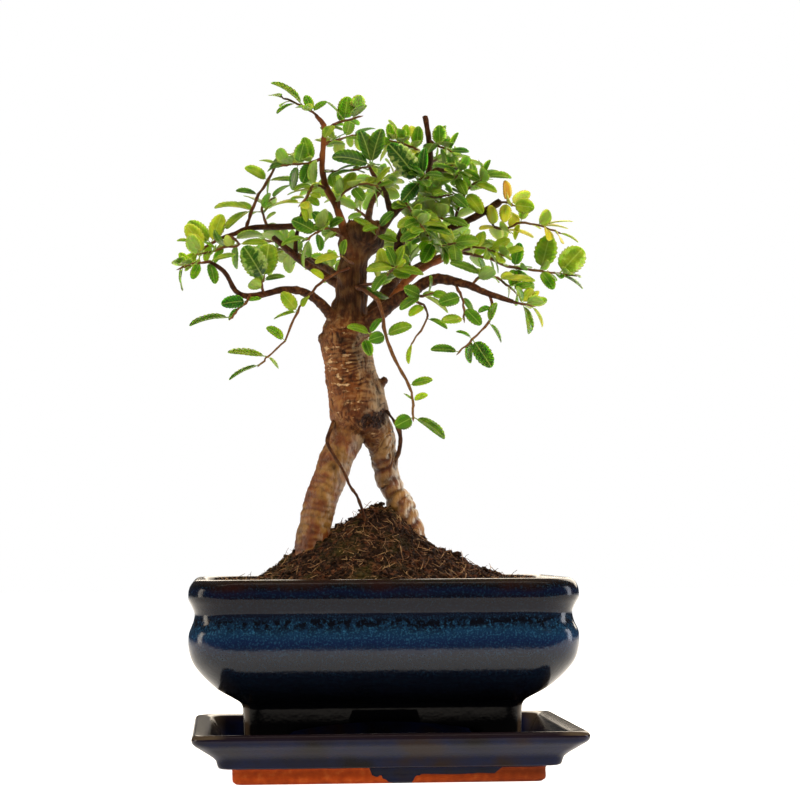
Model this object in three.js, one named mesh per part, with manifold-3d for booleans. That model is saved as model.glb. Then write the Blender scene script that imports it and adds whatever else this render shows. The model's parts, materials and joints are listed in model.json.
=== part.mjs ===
import * as THREE from 'three';
import { mergeVertices } from 'three/addons/utils/BufferGeometryUtils.js';
import Module from 'manifold-3d';

// A small Chinese elm trained as a bonsai, in a glazed pot with its saucer.
// Millimetres, +Z up. The front faces -Y, and the origin is the middle of the saucer's foot.

const wasm = await Module();
wasm.setup();

const touchGap = 0.3; // between pieces that touch

// Saucer: [inset from the lip's outline, height], up the outside, over the lip and down inside.
const saucer = { halfWidth: 102, halfDepth: 78, cornerRadius: 8, floorTop: 7 };
const saucerProfile = [
  [22.7, 0], [21, 1.6], [20.4, 8], [14, 9], [12, 13.5], [5, 18.8], [1, 21.8], [0, 24.2],
  [0.9, 26.2], [2.6, 27], [8.6, 26.3], [10.2, 24.4], [17, 12], [20, 8.2], [23, saucer.floorTop],
];

// Pot: [half width, height], down from the recess under the floor, round the foot and up the
// outside, over the rim and down inside.
const pot = { centreX: -2.2, widerThanDeep: 26.3, cornerRadius: 24, widest: 101.5 };
const potProfile = [
  [66.5, 33], [67, 8.4], [68, saucer.floorTop], [71, saucer.floorTop], [72, 8.6], [73.4, 37.5],
  [74.6, 40.6], [78, 43], [86, 47.8], [91.5, 52.6], [96, 57.5], [99.1, 62], [100.8, 66.7],
  [101.5, 72], [101.2, 77.5], [99.2, 82.4], [98.3, 87.4], [99.7, 91.4], [101.4, 95], [101.4, 99],
  [100.2, 102.4], [98, 104.6], [95.4, 105.1], [93, 103.8], [91.8, 100], [91.2, 72], [88.4, 60],
  [79, 50.5], [70, 45.6], [60, 44],
];
const arch = { halfWidth: 57, halfWidthSide: 30, top: 31, shoulder: 25 };
const drain = { radius: 6, fromCentre: 42 };

// Soil: a cone of lumpy earth heaped round the two legs of the tree.
const soil = {
  edgeHeight: 102.6, peak: [-3, 1, 146], reachLeft: 68, reachRight: 84, reachDeep: 62, lump: 1.6,
  heaps: [ // [x, y, height, radius] of the lesser heaps on its flanks
    [-46, -6, 4, 15], [45, -4, 4.5, 13], [20, -30, 3, 16], [-22, -32, 3, 16],
    [-20, 30, 4, 16], [26, 28, 3, 16], [62, 6, 2, 12],
  ],
};

// The wood. Every limb is a route of [x, y, z, radius]; the next point is further from the root.
const limbs = [
  // trunk, from the fork of the legs to the sawn top
  { sides: 10, ragged: 3, route: [[-12, 1, 182.5, 8.4], [-12, 0.5, 186, 13.4],
    [-12, 0, 191.5, 16], [-13, 0, 201, 15.8], [-16, 0, 212, 14], [-18, 0, 223, 13.2],
    [-19.5, 0, 232, 13.4],
    [-18.5, 0, 240, 12.2], [-17, 0, 250, 9.6], [-15.5, 0, 261, 8.6], [-14.7, 0, 273, 7.8],
    [-12.8, 0, 283, 8.6], [-10.7, 0, 289, 11.4], [-10.2, 0, 293.5, 11.6]] },
  // left and right leg, down into the soil
  { sides: 8, route: [[-42, -8, 96, 8], [-38, -8, 125, 8.9], [-36, -8, 135, 8.6],
    [-33, -7, 147, 9.3], [-29, -6, 157, 8.9], [-25, -4, 168, 8.9], [-20, -2, 179, 9.6],
    [-15, 0, 192, 11]] },
  { sides: 8, route: [[21, 9, 95, 8.4], [17, 8, 127, 7.6], [13, 7, 138, 7.7],
    [10.5, 6.5, 145, 7.1], [7, 6, 152, 6.1], [4, 5, 158, 6.9], [2.4, 4, 164, 6.9],
    [1.4, 3, 171, 7.6], [0.6, 2, 174, 7.1], [-0.5, 1, 180, 8.6], [-9, 0, 192, 11]] },
  // thin roots that came down beside the legs
  { sides: 4, route: [[-26, -6, 189, 1.4], [-30, -14, 178, 0.9], [-27, -16, 171, 0.8],
    [-22, -17, 163, 0.8], [-18, -17, 154, 0.8], [-14, -15, 148, 0.8], [-10, -12, 136, 0.9],
    [-9, -10, 122, 1]] },
  { sides: 4, route: [[2, -7, 195, 1.6], [8, -6, 187, 1.3], [10, -5, 181, 1.2],
    [9.5, -3, 174, 1.1], [7, 0, 166, 1.2]] },
  // knobs and stubs of old cuts
  { sides: 6, route: [[-24, 0, 233, 5], [-31, -2, 234.5, 4.2], [-33.5, -2.5, 235, 2.4]] },
  { sides: 6, route: [[-6, -2, 208, 4.5], [0, -3, 210, 2.6], [2.5, -3.5, 212.5, 1.8]] },
  { sides: 6, route: [[-20, 8, 224, 4], [-25, 15, 228, 3], [-27, 18, 230, 2.2]] },
  // low branch to the left
  { sides: 5, route: [[-19, 0, 236, 4.4], [-26, -4, 245, 3.2], [-34, -8, 254, 2.6],
    [-44, -13, 259, 2.2], [-55, -18, 259, 1.9], [-65, -22, 256, 1.7], [-77, -25, 256, 1.4],
    [-85, -27, 268, 1.2], [-93, -28, 273, 1]] },
  // two branches above it, one ending in a cut
  { sides: 5, route: [[-15, 2, 258, 3.6], [-22, 5, 264, 2.8], [-32, 9, 271, 2.4],
    [-42, 13, 278, 2.2], [-50, 16, 285, 1.8], [-58, 18, 292, 1.5]] },
  { sides: 4, route: [[-46, 14.6, 281.5, 1.4], [-45, 17, 294, 1.1], [-41, 18, 309, 0.9],
    [-38, 18, 318, 0.8]] },
  { sides: 5, route: [[-12, 2, 290, 3], [-22, 5, 293, 2.2], [-39, 9, 297, 1.9],
    [-54, 11, 297, 1.8], [-71, 10, 296, 1.5], [-81, 8, 292, 1.2], [-87, 7, 290, 1]] },
  // leader
  { sides: 5, route: [[-15, -5, 278, 2.6], [-20, -7, 292, 2.2], [-24, -7, 305, 1.9],
    [-30, -8, 317, 1.8], [-32, -8, 328, 1.6], [-31, -8, 342, 1.4], [-31, -8, 350, 1.3],
    [-35, -9, 355, 1.1]] },
  // heavy branch low on the right
  { sides: 6, route: [[-13, -2, 238, 5.4], [-5, -8, 244, 4.2], [6, -13, 253, 3.4],
    [15, -17, 258, 3.2], [23, -21, 263, 3], [30, -25, 264.5, 2.8], [38, -29, 262.5, 2.4],
    [46, -32, 260, 2], [54, -34, 256, 1.7], [68, -37, 251, 1.2]] },
  // reddish branch, and the dark one behind it that carries the right half of the crown
  { sides: 5, route: [[-12, 2, 241, 3.6], [-3, 3, 248, 3], [6, 4, 256, 2.5], [15, 6, 267, 2.2],
    [22, 9, 273, 2], [31, 13, 278, 1.8], [40, 15, 282, 1.6], [45, 16, 285, 1.4]] },
  { sides: 6, route: [[-14, 4, 240, 5], [0, 14, 254, 4.4], [8, 21, 268, 3.9], [11, 25, 279, 3.5],
    [13, 26, 292, 3], [19, 25, 306, 2.4], [26, 22, 319, 2], [29, 18, 333, 1.7],
    [28, 14, 348, 1.5], [26, 12, 359, 1.4]] },
  { sides: 5, route: [[-8, 0, 287, 3], [1, -3, 295, 2.3], [6, -6, 301, 2], [13, -9, 308, 1.7],
    [19, -11, 316, 1.3]] },
  { sides: 4, route: [[6, -6, 301, 1.9], [4, -2, 310, 1.5], [2, 2, 317, 1.3],
    [-2, 5, 323, 1.1], [-6, 7, 331, 0.9]] },
  { sides: 5, route: [[26, 22, 319, 1.8], [31, 12, 328, 1.7], [38, 6, 329, 1.9],
    [43, 3, 330, 2], [48, 0, 331.5, 1.9]] },
  { sides: 5, route: [[13.5, 26, 293, 2.4], [26, 20, 294, 2], [40, 13, 297, 1.9],
    [50, 7, 301, 1.9], [58, 3, 305, 2], [66, 0, 310, 2]] },
  // branches to the back
  { sides: 5, route: [[-15, 2, 263, 3], [-22, 16, 270, 2.4], [-33, 31, 279, 1.9],
    [-45, 43, 286, 1.4]] },
  { sides: 5, route: [[8, 21, 268, 2.4], [20, 34, 276, 2], [34, 46, 284, 1.6],
    [48, 53, 288, 1.2]] },
  { sides: 5, route: [[-9, 2, 288, 3], [-6, 17, 300, 2.2], [-3, 31, 312, 1.7],
    [2, 42, 322, 1.2]] },
];

// Leafy shoots. route is [x, y, z] in mm, starting in the limb that the shoot grows from.
// A leaf is [route point, reach x, y, z, how wide it looks from the front over its length].
// grown is the number of leaves added by the rule below, and tone runs from 0, yellow, to 1, dark.
const shoots = [
  { spray: 'left_tip', tone: 0.1, grown: 2,
    route: [[-87, 7, 290], [-92, 6, 287], [-96, 4, 284], [-100, 3, 282]],
    leaves: [[2, -15, -4, 4, 0.25], [2, -10, -3, 13, 0.55], [3, -7, 2, -9, 0.6],
      [1, -13, 4, 13, 0.5], [1, -3, -2, -11, 0.4], [1, 6, 3, 17, 0.5]] },
  { spray: 'left_low', tone: 0.35, grown: 3,
    route: [[-83, 8, 292], [-77, 2, 286], [-85, 0, 284], [-94, -3, 281], [-98, -4, 280]],
    leaves: [[2, -5, -4, -9, 0.4], [1, 16, -5, 0, 0.35]] },
  { spray: 'arm_tip', tone: 0.3, grown: 1,
    route: [[-93, -28, 273], [-98, -29, 272], [-103, -30, 271], [-108, -31, 269]],
    leaves: [[1, -4, -3, -9, 0.5], [2, -6, -4, 6, 0.5], [0, 3, -6, -13, 0.4],
      [0, 14, -8, 3, 0.3]] },
  { spray: 'arm_up', tone: 0.65, grown: 1,
    route: [[-64, -22, 256], [-65, -24, 261], [-64, -26, 264]],
    leaves: [[2, -11, -8, 17, 0.62], [2, 3, 4, 20, 0.62], [2, 11, -3, 1, 0.3],
      [1, -6, 8, 10, 0.4]] },
  { spray: 'arm_hang', tone: 0.8, grown: 0,
    route: [[-71, -24, 256], [-73, -28, 252], [-77, -30, 248], [-81, -32, 243]],
    leaves: [[1, -14, -4, -2, 0.5], [1, 8, 3, 2, 0.4], [2, -6, 5, -6, 0.3],
      [3, -23, -4, -5, 0.25]] },
  { spray: 'fall_left', tone: 0.45, grown: 0,
    route: [[-16, -6, 273], [-31, -15, 265], [-40, -19, 256], [-46, -23, 247],
      [-53, -28, 231], [-62, -32, 222], [-66, -34, 218]],
    leaves: [[1, -8, -3, 5, 0.45], [2, -3, -8, -7, 0.35], [3, -9, -5, 10, 0.55],
      [3, -13, 4, -4, 0.25], [4, -10, -3, 7, 0.45], [5, -22, -4, 2, 0.28],
      [5, 6, 5, -6, 0.3], [6, -17, -2, -9, 0.2]] },
  { spray: 'arch_left', tone: 0.5, grown: 1,
    route: [[-73, 9, 296], [-70, 11, 306], [-66, 13, 315], [-61, 14, 323], [-56, 15, 332],
      [-51, 15, 337], [-47, 14, 333]],
    leaves: [[1, -21, -4, 1, 0.28], [1, -14, -10, -12, 0.3], [2, -13, -5, 1, 0.35],
      [3, -13, -3, 7, 0.45], [3, 17, -6, -1, 0.3], [4, -10, 5, 3, 0.3], [1, -7, 8, 6, 0.4]] },
  { spray: 'arch_twig', tone: 0.5, grown: 3,
    route: [[-61, 10.5, 296], [-64, 16, 306], [-63, 19, 311], [-58, 21, 314]], leaves: [] },
  { spray: 'crown_tip', tone: 0.4, grown: 0,
    route: [[-33, -9, 352.5], [-37, -9, 357], [-42, -9, 360], [-49, -9, 363], [-54, -9, 365]],
    leaves: [[2, -18, -3, 13, 0.28], [1, -4, 3, 10, 0.5], [1, 8, 4, 7, 0.4]] },
  { spray: 'crown_right', tone: 0.3, grown: 1,
    route: [[-31, -8, 346], [-26, -10, 350], [-20, -11, 352], [-12, -12, 354]],
    leaves: [[2, 2, -4, 13, 0.7], [2, -10, -7, 9, 0.2], [1, -5, -9, -9, 0.45]] },
  { spray: 'crown_left', tone: 0.6, grown: 1,
    route: [[-32, -8, 332], [-38, -11, 329], [-45, -12, 328], [-53, -13, 327]],
    leaves: [[1, -4, -2, 14, 0.5], [2, 3, -6, 11, 0.65], [1, -5, -4, -12, 0.6],
      [3, -9, 2, -3, 0.3], [2, -3, 5, -14, 0.35]] },
  { spray: 'crown_back', tone: 0.35, grown: 4,
    route: [[-31, -8, 339], [-25, 0, 343], [-18, 8, 346], [-11, 14, 349]],
    leaves: [[1, -7, 5, 9, 0.45], [2, 3, 6, 12, 0.5]] },
  { spray: 'deck', tone: 0.85, grown: 3,
    route: [[-31, -8, 325], [-24, -14, 324], [-15, -18, 324], [-6, -22, 326]],
    leaves: [[3, -22, -4, 4, 0.45], [3, -6, 4, 20, 0.45], [3, 6, 3, 21, 0.45],
      [2, -13, -6, -5, 0.28]] },
  { spray: 'crown_low', tone: 0.3, grown: 3,
    route: [[-29, -8, 315], [-37, -14, 316], [-40, -17, 310], [-44, -20, 305]],
    leaves: [[1, -11, -3, -3, 0.35], [2, 6, -4, -6, 0.5], [3, 3, -2, -10, 0.4]] },
  { spray: 'bare_fork', tone: 0.55, grown: 3,
    route: [[-23, -7, 302], [-22, -12, 311], [-16, -15, 315], [-9, -18, 317], [-3, -19, 315]],
    leaves: [[2, 6, -5, -8, 0.6], [4, 9, -4, 2, 0.35]] },
  { spray: 'inner_left', tone: 0.75, grown: 2,
    route: [[-19, -6, 289], [-29, -14, 293], [-35, -19, 290], [-40, -23, 286]],
    leaves: [[1, -9, -6, 8, 0.5], [1, 8, -8, 4, 0.45], [2, 1, -5, -11, 0.4],
      [2, -12, 5, 3, 0.45], [3, -15, -4, -4, 0.3], [1, -1, 6, 11, 0.45]] },
  { spray: 'pale_left', tone: 0.2, grown: 0,
    route: [[-14, -6, 274], [-19, -14, 276], [-22, -19, 277]],
    leaves: [[2, -15, -4, -4, 0.36], [2, 2, -4, 9, 0.45]] },
  { spray: 'stump_right', tone: 0.7, grown: 2,
    route: [[-7, -6, 284], [-3, -14, 289], [-2, -18, 293]],
    leaves: [[1, -13, -4, 9, 0.34], [2, 8, -5, 8, 0.45], [1, 11, -5, -4, 0.4],
      [2, -9, -8, -3, 0.4]] },
  { spray: 'stump_front', tone: 0.4, grown: 2,
    route: [[-13, -6, 263], [-4, -18, 263], [2, -24, 267], [6, -28, 270]],
    leaves: [[3, -16, -4, -2, 0.42], [2, -8, -5, -10, 0.4], [3, -5, -4, 11, 0.45],
      [3, 5, -3, 12, 0.4]] },
  { spray: 'trunk_leaf', tone: 0.6, grown: 0,
    route: [[-15, -10, 229], [-10, -17, 233], [-7, -21, 235]],
    leaves: [[2, -13, -3, 4, 0.4], [2, 6, 1, 9, 0.4], [1, 3, -6, -10, 0.5]] },
  { spray: 'fall_front', tone: 0.55, grown: 0,
    route: [[-14, -7, 262], [-8, -17, 258], [-2, -22, 252], [1, -25, 234], [6, -27, 221],
      [13, -28, 207], [15, -29, 199], [15, -30, 190]],
    leaves: [[3, 14, -5, 5, 0.45], [3, -9.5, -4, -3, 0.7], [5, 13, -3, 3, 0.4],
      [6, 8, -3, 3, 0.45], [6, -5, 3, 4, 0.3], [7, -10, -4, -5, 0.75], [7, 17, -3, -12, 0.33]] },
  { spray: 'fall_thin', tone: 0.3, grown: 0,
    route: [[12, -16, 257], [17, -21, 253], [22, -24, 250], [23, -26, 243], [15, -28, 230]],
    leaves: [[2, -9, -5, -6, 0.45], [3, 11, -3, -6, 0.32], [4, -2, -2, -12, 0.2]] },
  { spray: 'low_leaves', tone: 0.35, grown: 1,
    route: [[16, -17, 258], [20, -26, 255], [25, -30, 256]],
    leaves: [[2, 9, -4, -2, 0.5], [1, -10, -6, 4, 0.6], [1, -12, -4, -8, 0.4]] },
  { spray: 'under_a', tone: 0.6, grown: 0,
    route: [[38, -28, 262], [41, -33, 254], [42, -35, 248], [42, -36, 242]],
    leaves: [[1, -13, -4, -4, 0.55], [3, -13, -5, -2, 0.45], [2, 9, -4, -10, 0.5],
      [1, 7, 4, -8, 0.4]] },
  { spray: 'under_b', tone: 0.75, grown: 0,
    route: [[56, -34, 255], [57, -36, 248], [55, -37, 240], [46, -38, 231], [39, -39, 224]],
    leaves: [[1, -8, -4, -3, 0.4], [2, 4, -7, 10, 0.35], [2, 7, 3, -11, 0.28],
      [4, -16, -3, 1, 0.36], [3, 10, -5, -16, 0.5], [3, -1, 4, -13, 0.3],
      [3, -9, -2, 4, 0.3]] },
  { spray: 'reach_tip', tone: 0.15, grown: 1,
    route: [[66, -36.5, 251.5], [73, -37, 250], [78, -36, 249]],
    leaves: [[1, 3, -4, -17, 0.3], [2, 6, 0, -12, 0.25], [1, 6, 4, 9, 0.5], [2, 9, 3, 4, 0.5],
      [1, -4, -5, 9, 0.4]] },
  { spray: 'reach_top', tone: 0.3, grown: 1,
    route: [[46, -32, 260], [53, -30, 266], [61, -29, 264], [67, -28, 260], [72, -27, 256]],
    leaves: [[1, -3, -5, 9, 0.35], [2, 20, -6, -2, 0.3], [1, -19, -4, 6, 0.35],
      [3, 10, 6, 7, 0.4]] },
  { spray: 'light_end', tone: 0.6, grown: 1,
    route: [[44, 16, 284.5], [53, 14, 282], [61, 11, 280], [74, 5, 274], [88, 1, 272],
      [98, -2, 270], [107, -4, 269]],
    leaves: [[5, 13, -3, 14, 0.75], [4, 5, -4, 20, 0.62], [3, 3, -3, 14, 0.5],
      [4, 7, -4, -11, 0.5], [5, 13, -2, -9, 0.25], [3, 10, -6, -13, 0.35],
      [3, -2, -4, -11, 0.5], [2, 5, -5, 9, 0.5]] },
  { spray: 'light_low', tone: 0.4, grown: 3,
    route: [[42, 15, 283], [52, 4, 285], [60, -1, 283], [66, -4, 280]],
    leaves: [[1, 4, -5, 8, 0.5], [2, 11, -6, 5, 0.45], [3, 12, -4, 3, 0.4]] },
  { spray: 'yellow', tone: 0, grown: 0,
    route: [[58, 3, 305], [63, 4, 297], [69, 2, 295], [77, -2, 298], [87, -5, 296],
      [97, -7, 292]],
    leaves: [[1, -3, -6, 11, 0.5], [3, -7, -4, 5, 0.4], [4, 19, -3, 2, 0.15],
      [4, 17, 6, -1, 0.2], [5, 11, -2, -6, 0.25], [3, -3, 5, -9, 0.3], [2, 15, -7, -6, 0.25],
      [1, -9, -8, -3, 0.35]] },
  { spray: 'cut_end', tone: 0.1, grown: 0,
    route: [[64, 1, 309], [69, -4, 309], [72, -7, 307]],
    leaves: [[1, -1, -3, 12, 0.45], [1, -2, -5, -12, 0.55], [2, 12, -3, -2, 0.75]] },
  { spray: 'hook', tone: 0.6, grown: 1,
    route: [[40, 13, 297], [44, 6, 307], [47, 0, 315], [51, -3, 319], [56, -5, 322]],
    leaves: [[4, 16, -3, 0, 0.36], [3, -1, 2, 13, 0.4], [4, 4, -3, 10, 0.3],
      [3, 13, -3, -5, 0.4], [2, 9, -5, -13, 0.5]] },
  { spray: 'top_cut', tone: 0.45, grown: 1,
    route: [[47, 0.5, 331], [44, -6, 326], [41, -9, 322]],
    leaves: [[1, 10, -4, -6, 0.5], [2, -14, -6, -3, 0.4], [2, 5, -4, -11, 0.5]] },
  { spray: 'top_right', tone: 0.35, grown: 1,
    route: [[28, 14, 346], [34, 10, 342], [39, 7, 339]],
    leaves: [[1, 3, 5, 13, 0.35], [1, -1, -6, 11, 0.7], [2, 5, -3, 10, 0.3],
      [2, 11, -2, -1, 0.4]] },
  { spray: 'top_left', tone: 0.15, grown: 2,
    route: [[29, 17, 335], [21, 13, 341], [14, 9, 343], [7, 6, 344]],
    leaves: [[3, -2, -5, 9, 0.5], [2, 1, -6, 10, 0.5], [1, 1, -6, 12, 0.5],
      [3, -10, -3, -1, 0.5]] },
  { spray: 'dark_big', tone: 0.95, grown: 1,
    route: [[18, -11, 314], [20, -16, 318], [22, -20, 321]],
    leaves: [[1, -17, -7, 20, 0.5], [2, 11, -4, -1, 0.4], [2, 1, -3, 15, 0.35],
      [1, -10, -6, -12, 0.5]] },
  { spray: 'heart_a', tone: 0.7, grown: 5,
    route: [[16, 25, 299], [22, 12, 302], [27, -1, 302], [33, -10, 299]],
    leaves: [[2, -10, -9, -7, 0.45], [3, 14, -6, -5, 0.4]] },
  { spray: 'heart_b', tone: 0.45, grown: 5,
    route: [[22, 24, 312], [28, 9, 313], [33, -3, 312], [38, -11, 312]],
    leaves: [[3, 8, -7, -8, 0.5]] },
  { spray: 'heart_c', tone: 0.6, grown: 4,
    route: [[24, 21, 294], [30, 6, 288], [33, -6, 285], [39, -14, 285]],
    leaves: [[3, -9, -6, 8, 0.5]] },
  { spray: 'heart_d', tone: 0.35, grown: 4,
    route: [[12, -9, 307], [15, -18, 303], [18, -26, 297], [21, -32, 290]],
    leaves: [[2, -11, -5, -6, 0.45], [3, -13, -3, -7, 0.4]] },
  { spray: 'back_left_a', tone: 0.5, grown: 6,
    route: [[-32, 30, 278.5], [-42, 33, 286], [-52, 36, 291], [-62, 38, 293]], leaves: [] },
  { spray: 'back_left_b', tone: 0.6, grown: 6,
    route: [[-43, 41, 285], [-50, 50, 289], [-55, 58, 290], [-58, 66, 288]], leaves: [] },
  { spray: 'back_left_c', tone: 0.4, grown: 6,
    route: [[-24, 19, 272], [-24, 33, 275], [-25, 46, 280], [-24, 58, 283]], leaves: [] },
  { spray: 'back_mid_a', tone: 0.3, grown: 6,
    route: [[-5, 20, 303], [-15, 30, 312], [-24, 38, 319], [-32, 44, 324]], leaves: [] },
  { spray: 'back_mid_b', tone: 0.5, grown: 6,
    route: [[1, 41, 321], [2, 50, 327], [3, 58, 329], [2, 66, 328]], leaves: [] },
  { spray: 'back_mid_c', tone: 0.25, grown: 6,
    route: [[0, 36, 317], [9, 38, 328], [14, 40, 337], [17, 41, 344]], leaves: [] },
  { spray: 'back_right_a', tone: 0.55, grown: 6,
    route: [[32, 44, 283], [37, 54, 291], [40, 62, 296], [42, 69, 299]], leaves: [] },
  { spray: 'back_right_b', tone: 0.3, grown: 6,
    route: [[46, 52, 287.5], [57, 54, 290], [67, 54, 291], [76, 52, 290]], leaves: [] },
  { spray: 'back_right_c', tone: 0.6, grown: 6,
    route: [[19, 33, 275.5], [18, 44, 284], [16, 53, 291], [14, 61, 296]], leaves: [] },
  { spray: 'back_right_d', tone: 0.45, grown: 6,
    route: [[29, 18, 334], [36, 26, 338], [42, 33, 338], [47, 40, 336]], leaves: [] },
];
const shootRadius = [1.3, 0.85]; // at the foot and at the tip
const budLength = 1.6; // the shoot ends this far past its last leaf

// Leaf blade: half outline as [along the leaf, half width], both from 0 to 1, with saw teeth.
const blade = {
  outline: [[0.13, 0.15], [0.35, 0.96], [0.42, 0.87], [0.71, 0.97], [0.77, 0.78]],
  smallOutline: [[0.13, 0.18], [0.42, 1], [0.49, 0.85], [0.8, 0.72]], smallBelow: 16.5,
  ribAt: [0.13, 0.5], stalkRise: 0.7, thick: 1.3, ratio: 0.5, arch: 0.06, fold: 0.16,
};
const grownLength = [12, 18.5];
const crownCentre = [-4, 0, 300];
const clearance = 0.9; // between a leaf and what it mustn't cross

// Even random draws from 0 to 1, the same on every run.
function draws(seed) {
  let state = seed;
  return () => {
    state = (state * 1664525 + 1013904223) % 4294967296;
    return state / 4294967296;
  };
}

const add = (a, b, k = 1) => [a[0] + b[0] * k, a[1] + b[1] * k, a[2] + b[2] * k];
const dot = (a, b) => a[0] * b[0] + a[1] * b[1] + a[2] * b[2];
const cross = (a, b) => [
  a[1] * b[2] - a[2] * b[1], a[2] * b[0] - a[0] * b[2], a[0] * b[1] - a[1] * b[0],
];
const unit = (a) => a.map((v) => v / Math.hypot(...a));
const mix = (a, b, t) => add(a, add(b, a, -1), t);
const square = (a, b) => unit(add(a, b, -dot(a, b))); // a made square to the unit vector b

function geometry(points, faces) {
  const shape = new THREE.BufferGeometry();
  shape.setAttribute('position', new THREE.Float32BufferAttribute(points.flat(), 3));
  shape.setIndex(faces.flat());
  return shape;
}

function solid(shape) {
  const bare = shape.clone();
  bare.deleteAttribute('normal');
  bare.deleteAttribute('uv');
  const merged = mergeVertices(bare, 1e-4);
  return new wasm.Manifold(new wasm.Mesh({
    numProp: 3,
    vertProperties: new Float32Array(merged.attributes.position.array),
    triVerts: new Uint32Array(merged.index.array),
  }));
}

function fromSolid(body) {
  const mesh = body.getMesh();
  const shape = new THREE.BufferGeometry();
  shape.setAttribute('position', new THREE.BufferAttribute(mesh.vertProperties, 3));
  shape.setIndex(new THREE.BufferAttribute(mesh.triVerts, 1));
  return shape;
}

const join = (solids) => solids.reduce((all, one) => all.add(one));
const largest = (body) => body.decompose().sort((a, b) => b.volume() - a.volume())[0];

// Rings of points, all of the same count, skinned and closed at both ends.
function skin(rings) {
  const count = rings[0].length;
  const faces = [];
  for (let r = 0; r + 1 < rings.length; r += 1) {
    for (let i = 0; i < count; i += 1) {
      const a = r * count + i;
      const b = r * count + ((i + 1) % count);
      faces.push([a, b, b + count], [a, b + count, a + count]);
    }
  }
  const points = rings.flat();
  const last = (rings.length - 1) * count;
  const middle = (ring) => ring.reduce((s, p) => add(s, p, 1 / count), [0, 0, 0]);
  const first = points.push(middle(rings[0])) - 1;
  const end = points.push(middle(rings[rings.length - 1])) - 1;
  for (let i = 0; i < count; i += 1) {
    const next = (i + 1) % count;
    faces.push([first, next, i], [end, last + i, last + next]);
  }
  return geometry(points, faces);
}

// A rectangle with round corners, anticlockwise seen from above.
function roundedRing(halfX, halfY, radius, z, cornerSteps, centreX = 0, splitX = 1, splitY = 1) {
  const ring = [];
  const corners = [[1, -1, -90], [1, 1, 0], [-1, 1, 90], [-1, -1, 180]];
  corners.forEach(([sx, sy, start], k) => {
    for (let i = 0; i <= cornerSteps; i += 1) {
      const turn = THREE.MathUtils.degToRad(start + (90 * i) / cornerSteps);
      ring.push([
        centreX + sx * (halfX - radius) + radius * Math.cos(turn),
        sy * (halfY - radius) + radius * Math.sin(turn), z,
      ]);
    }
    const split = k % 2 ? splitX : splitY;
    const from = ring[ring.length - 1];
    const nextCorner = corners[(k + 1) % 4];
    const to = [centreX + nextCorner[0] * (halfX - (k % 2 ? radius : 0)),
      nextCorner[1] * (halfY - (k % 2 ? 0 : radius)), z];
    for (let i = 1; i < split; i += 1) ring.push(mix(from, to, i / split));
  });
  return ring;
}

function makeSaucer() {
  const rings = saucerProfile.map(([inset, z]) => roundedRing(
    saucer.halfWidth - inset, saucer.halfDepth - inset, saucer.cornerRadius - inset * 0.15, z, 2));
  return skin(rings);
}

const potRing = (halfWidth, z, inset = 0, splitX = 1, splitY = 1) => roundedRing(
  halfWidth - inset, halfWidth - pot.widerThanDeep - inset,
  pot.cornerRadius - (pot.widest - halfWidth) * 0.42 - inset, z, 3, pot.centreX, splitX, splitY);

// The opening between two feet: straight sides, round shoulders and a slightly raised middle.
function archCut(halfWidth, length) {
  const outline = new THREE.Shape();
  outline.moveTo(-halfWidth, saucer.floorTop - 2);
  outline.lineTo(halfWidth, saucer.floorTop - 2);
  outline.quadraticCurveTo(halfWidth - 2, arch.shoulder, halfWidth - 12, arch.shoulder + 2);
  outline.quadraticCurveTo(0, arch.top + 4, 12 - halfWidth, arch.shoulder + 2);
  outline.quadraticCurveTo(2 - halfWidth, arch.shoulder, -halfWidth, saucer.floorTop - 2);
  const cut = new THREE.ExtrudeGeometry(outline, { depth: length, bevelEnabled: false, curveSegments: 4 });
  return cut.translate(0, 0, -length / 2).rotateX(Math.PI / 2);
}

function makePot() {
  let body = solid(skin(potProfile.map(([halfWidth, z]) => potRing(halfWidth, z))));
  const cutLength = 220;
  const front = archCut(arch.halfWidth, cutLength).translate(pot.centreX, 0, 0);
  const side = archCut(arch.halfWidthSide, cutLength).rotateZ(Math.PI / 2);
  body = body.subtract(solid(front)).subtract(solid(side));
  for (const sign of [-1, 1]) {
    const hole = new THREE.CylinderGeometry(drain.radius, drain.radius, 40, 8);
    hole.rotateX(Math.PI / 2).translate(pot.centreX + sign * drain.fromCentre, 0, 38);
    body = body.subtract(solid(hole));
  }
  return body;
}

// The heap's height over a point, before its lumps.
function heapHeight(x, y) {
  const side = x < soil.peak[0] ? soil.reachLeft : soil.reachRight;
  const out = Math.hypot((x - soil.peak[0]) / side, (y - soil.peak[1]) / soil.reachDeep);
  const rise = soil.peak[2] - soil.edgeHeight;
  const slope = Math.max(0, 1 - Math.sqrt(out * out + 0.004)) ** 1.12;
  const heaps = soil.heaps.reduce((sum, [hx, hy, height, radius]) => (
    sum + height * Math.exp(-((x - hx) ** 2 + (y - hy) ** 2) / (radius * radius))), 0);
  return soil.edgeHeight + rise * slope + heaps * Math.min(1, 3 * Math.max(0, 1 - out));
}

function makeSoil(woodRoom) {
  const random = draws(11);
  const [floor, , bend, , wall, rimFoot] = potProfile.slice(-6).reverse();
  const levels = [[floor[0], floor[1] + touchGap], bend, wall, [rimFoot[0], soil.edgeHeight]];
  const rings = levels.map(([halfWidth, z]) => potRing(halfWidth, z, touchGap, 5, 3));
  const rim = rings[rings.length - 1];
  const centre = [soil.peak[0], soil.peak[1], 0];
  const ringCount = 7;
  for (let r = 1; r < ringCount; r += 1) {
    const t = (1 - r / ringCount) ** 1.3;
    rings.push(rim.map(([x, y]) => {
      const px = centre[0] + (x - centre[0]) * t + (random() - 0.5) * 3;
      const py = centre[1] + (y - centre[1]) * t + (random() - 0.5) * 3;
      return [px, py, heapHeight(px, py) + (random() - 0.5) * 2 * soil.lump];
    }));
  }
  return solid(skin(rings)).subtract(woodRoom);
}

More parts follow.
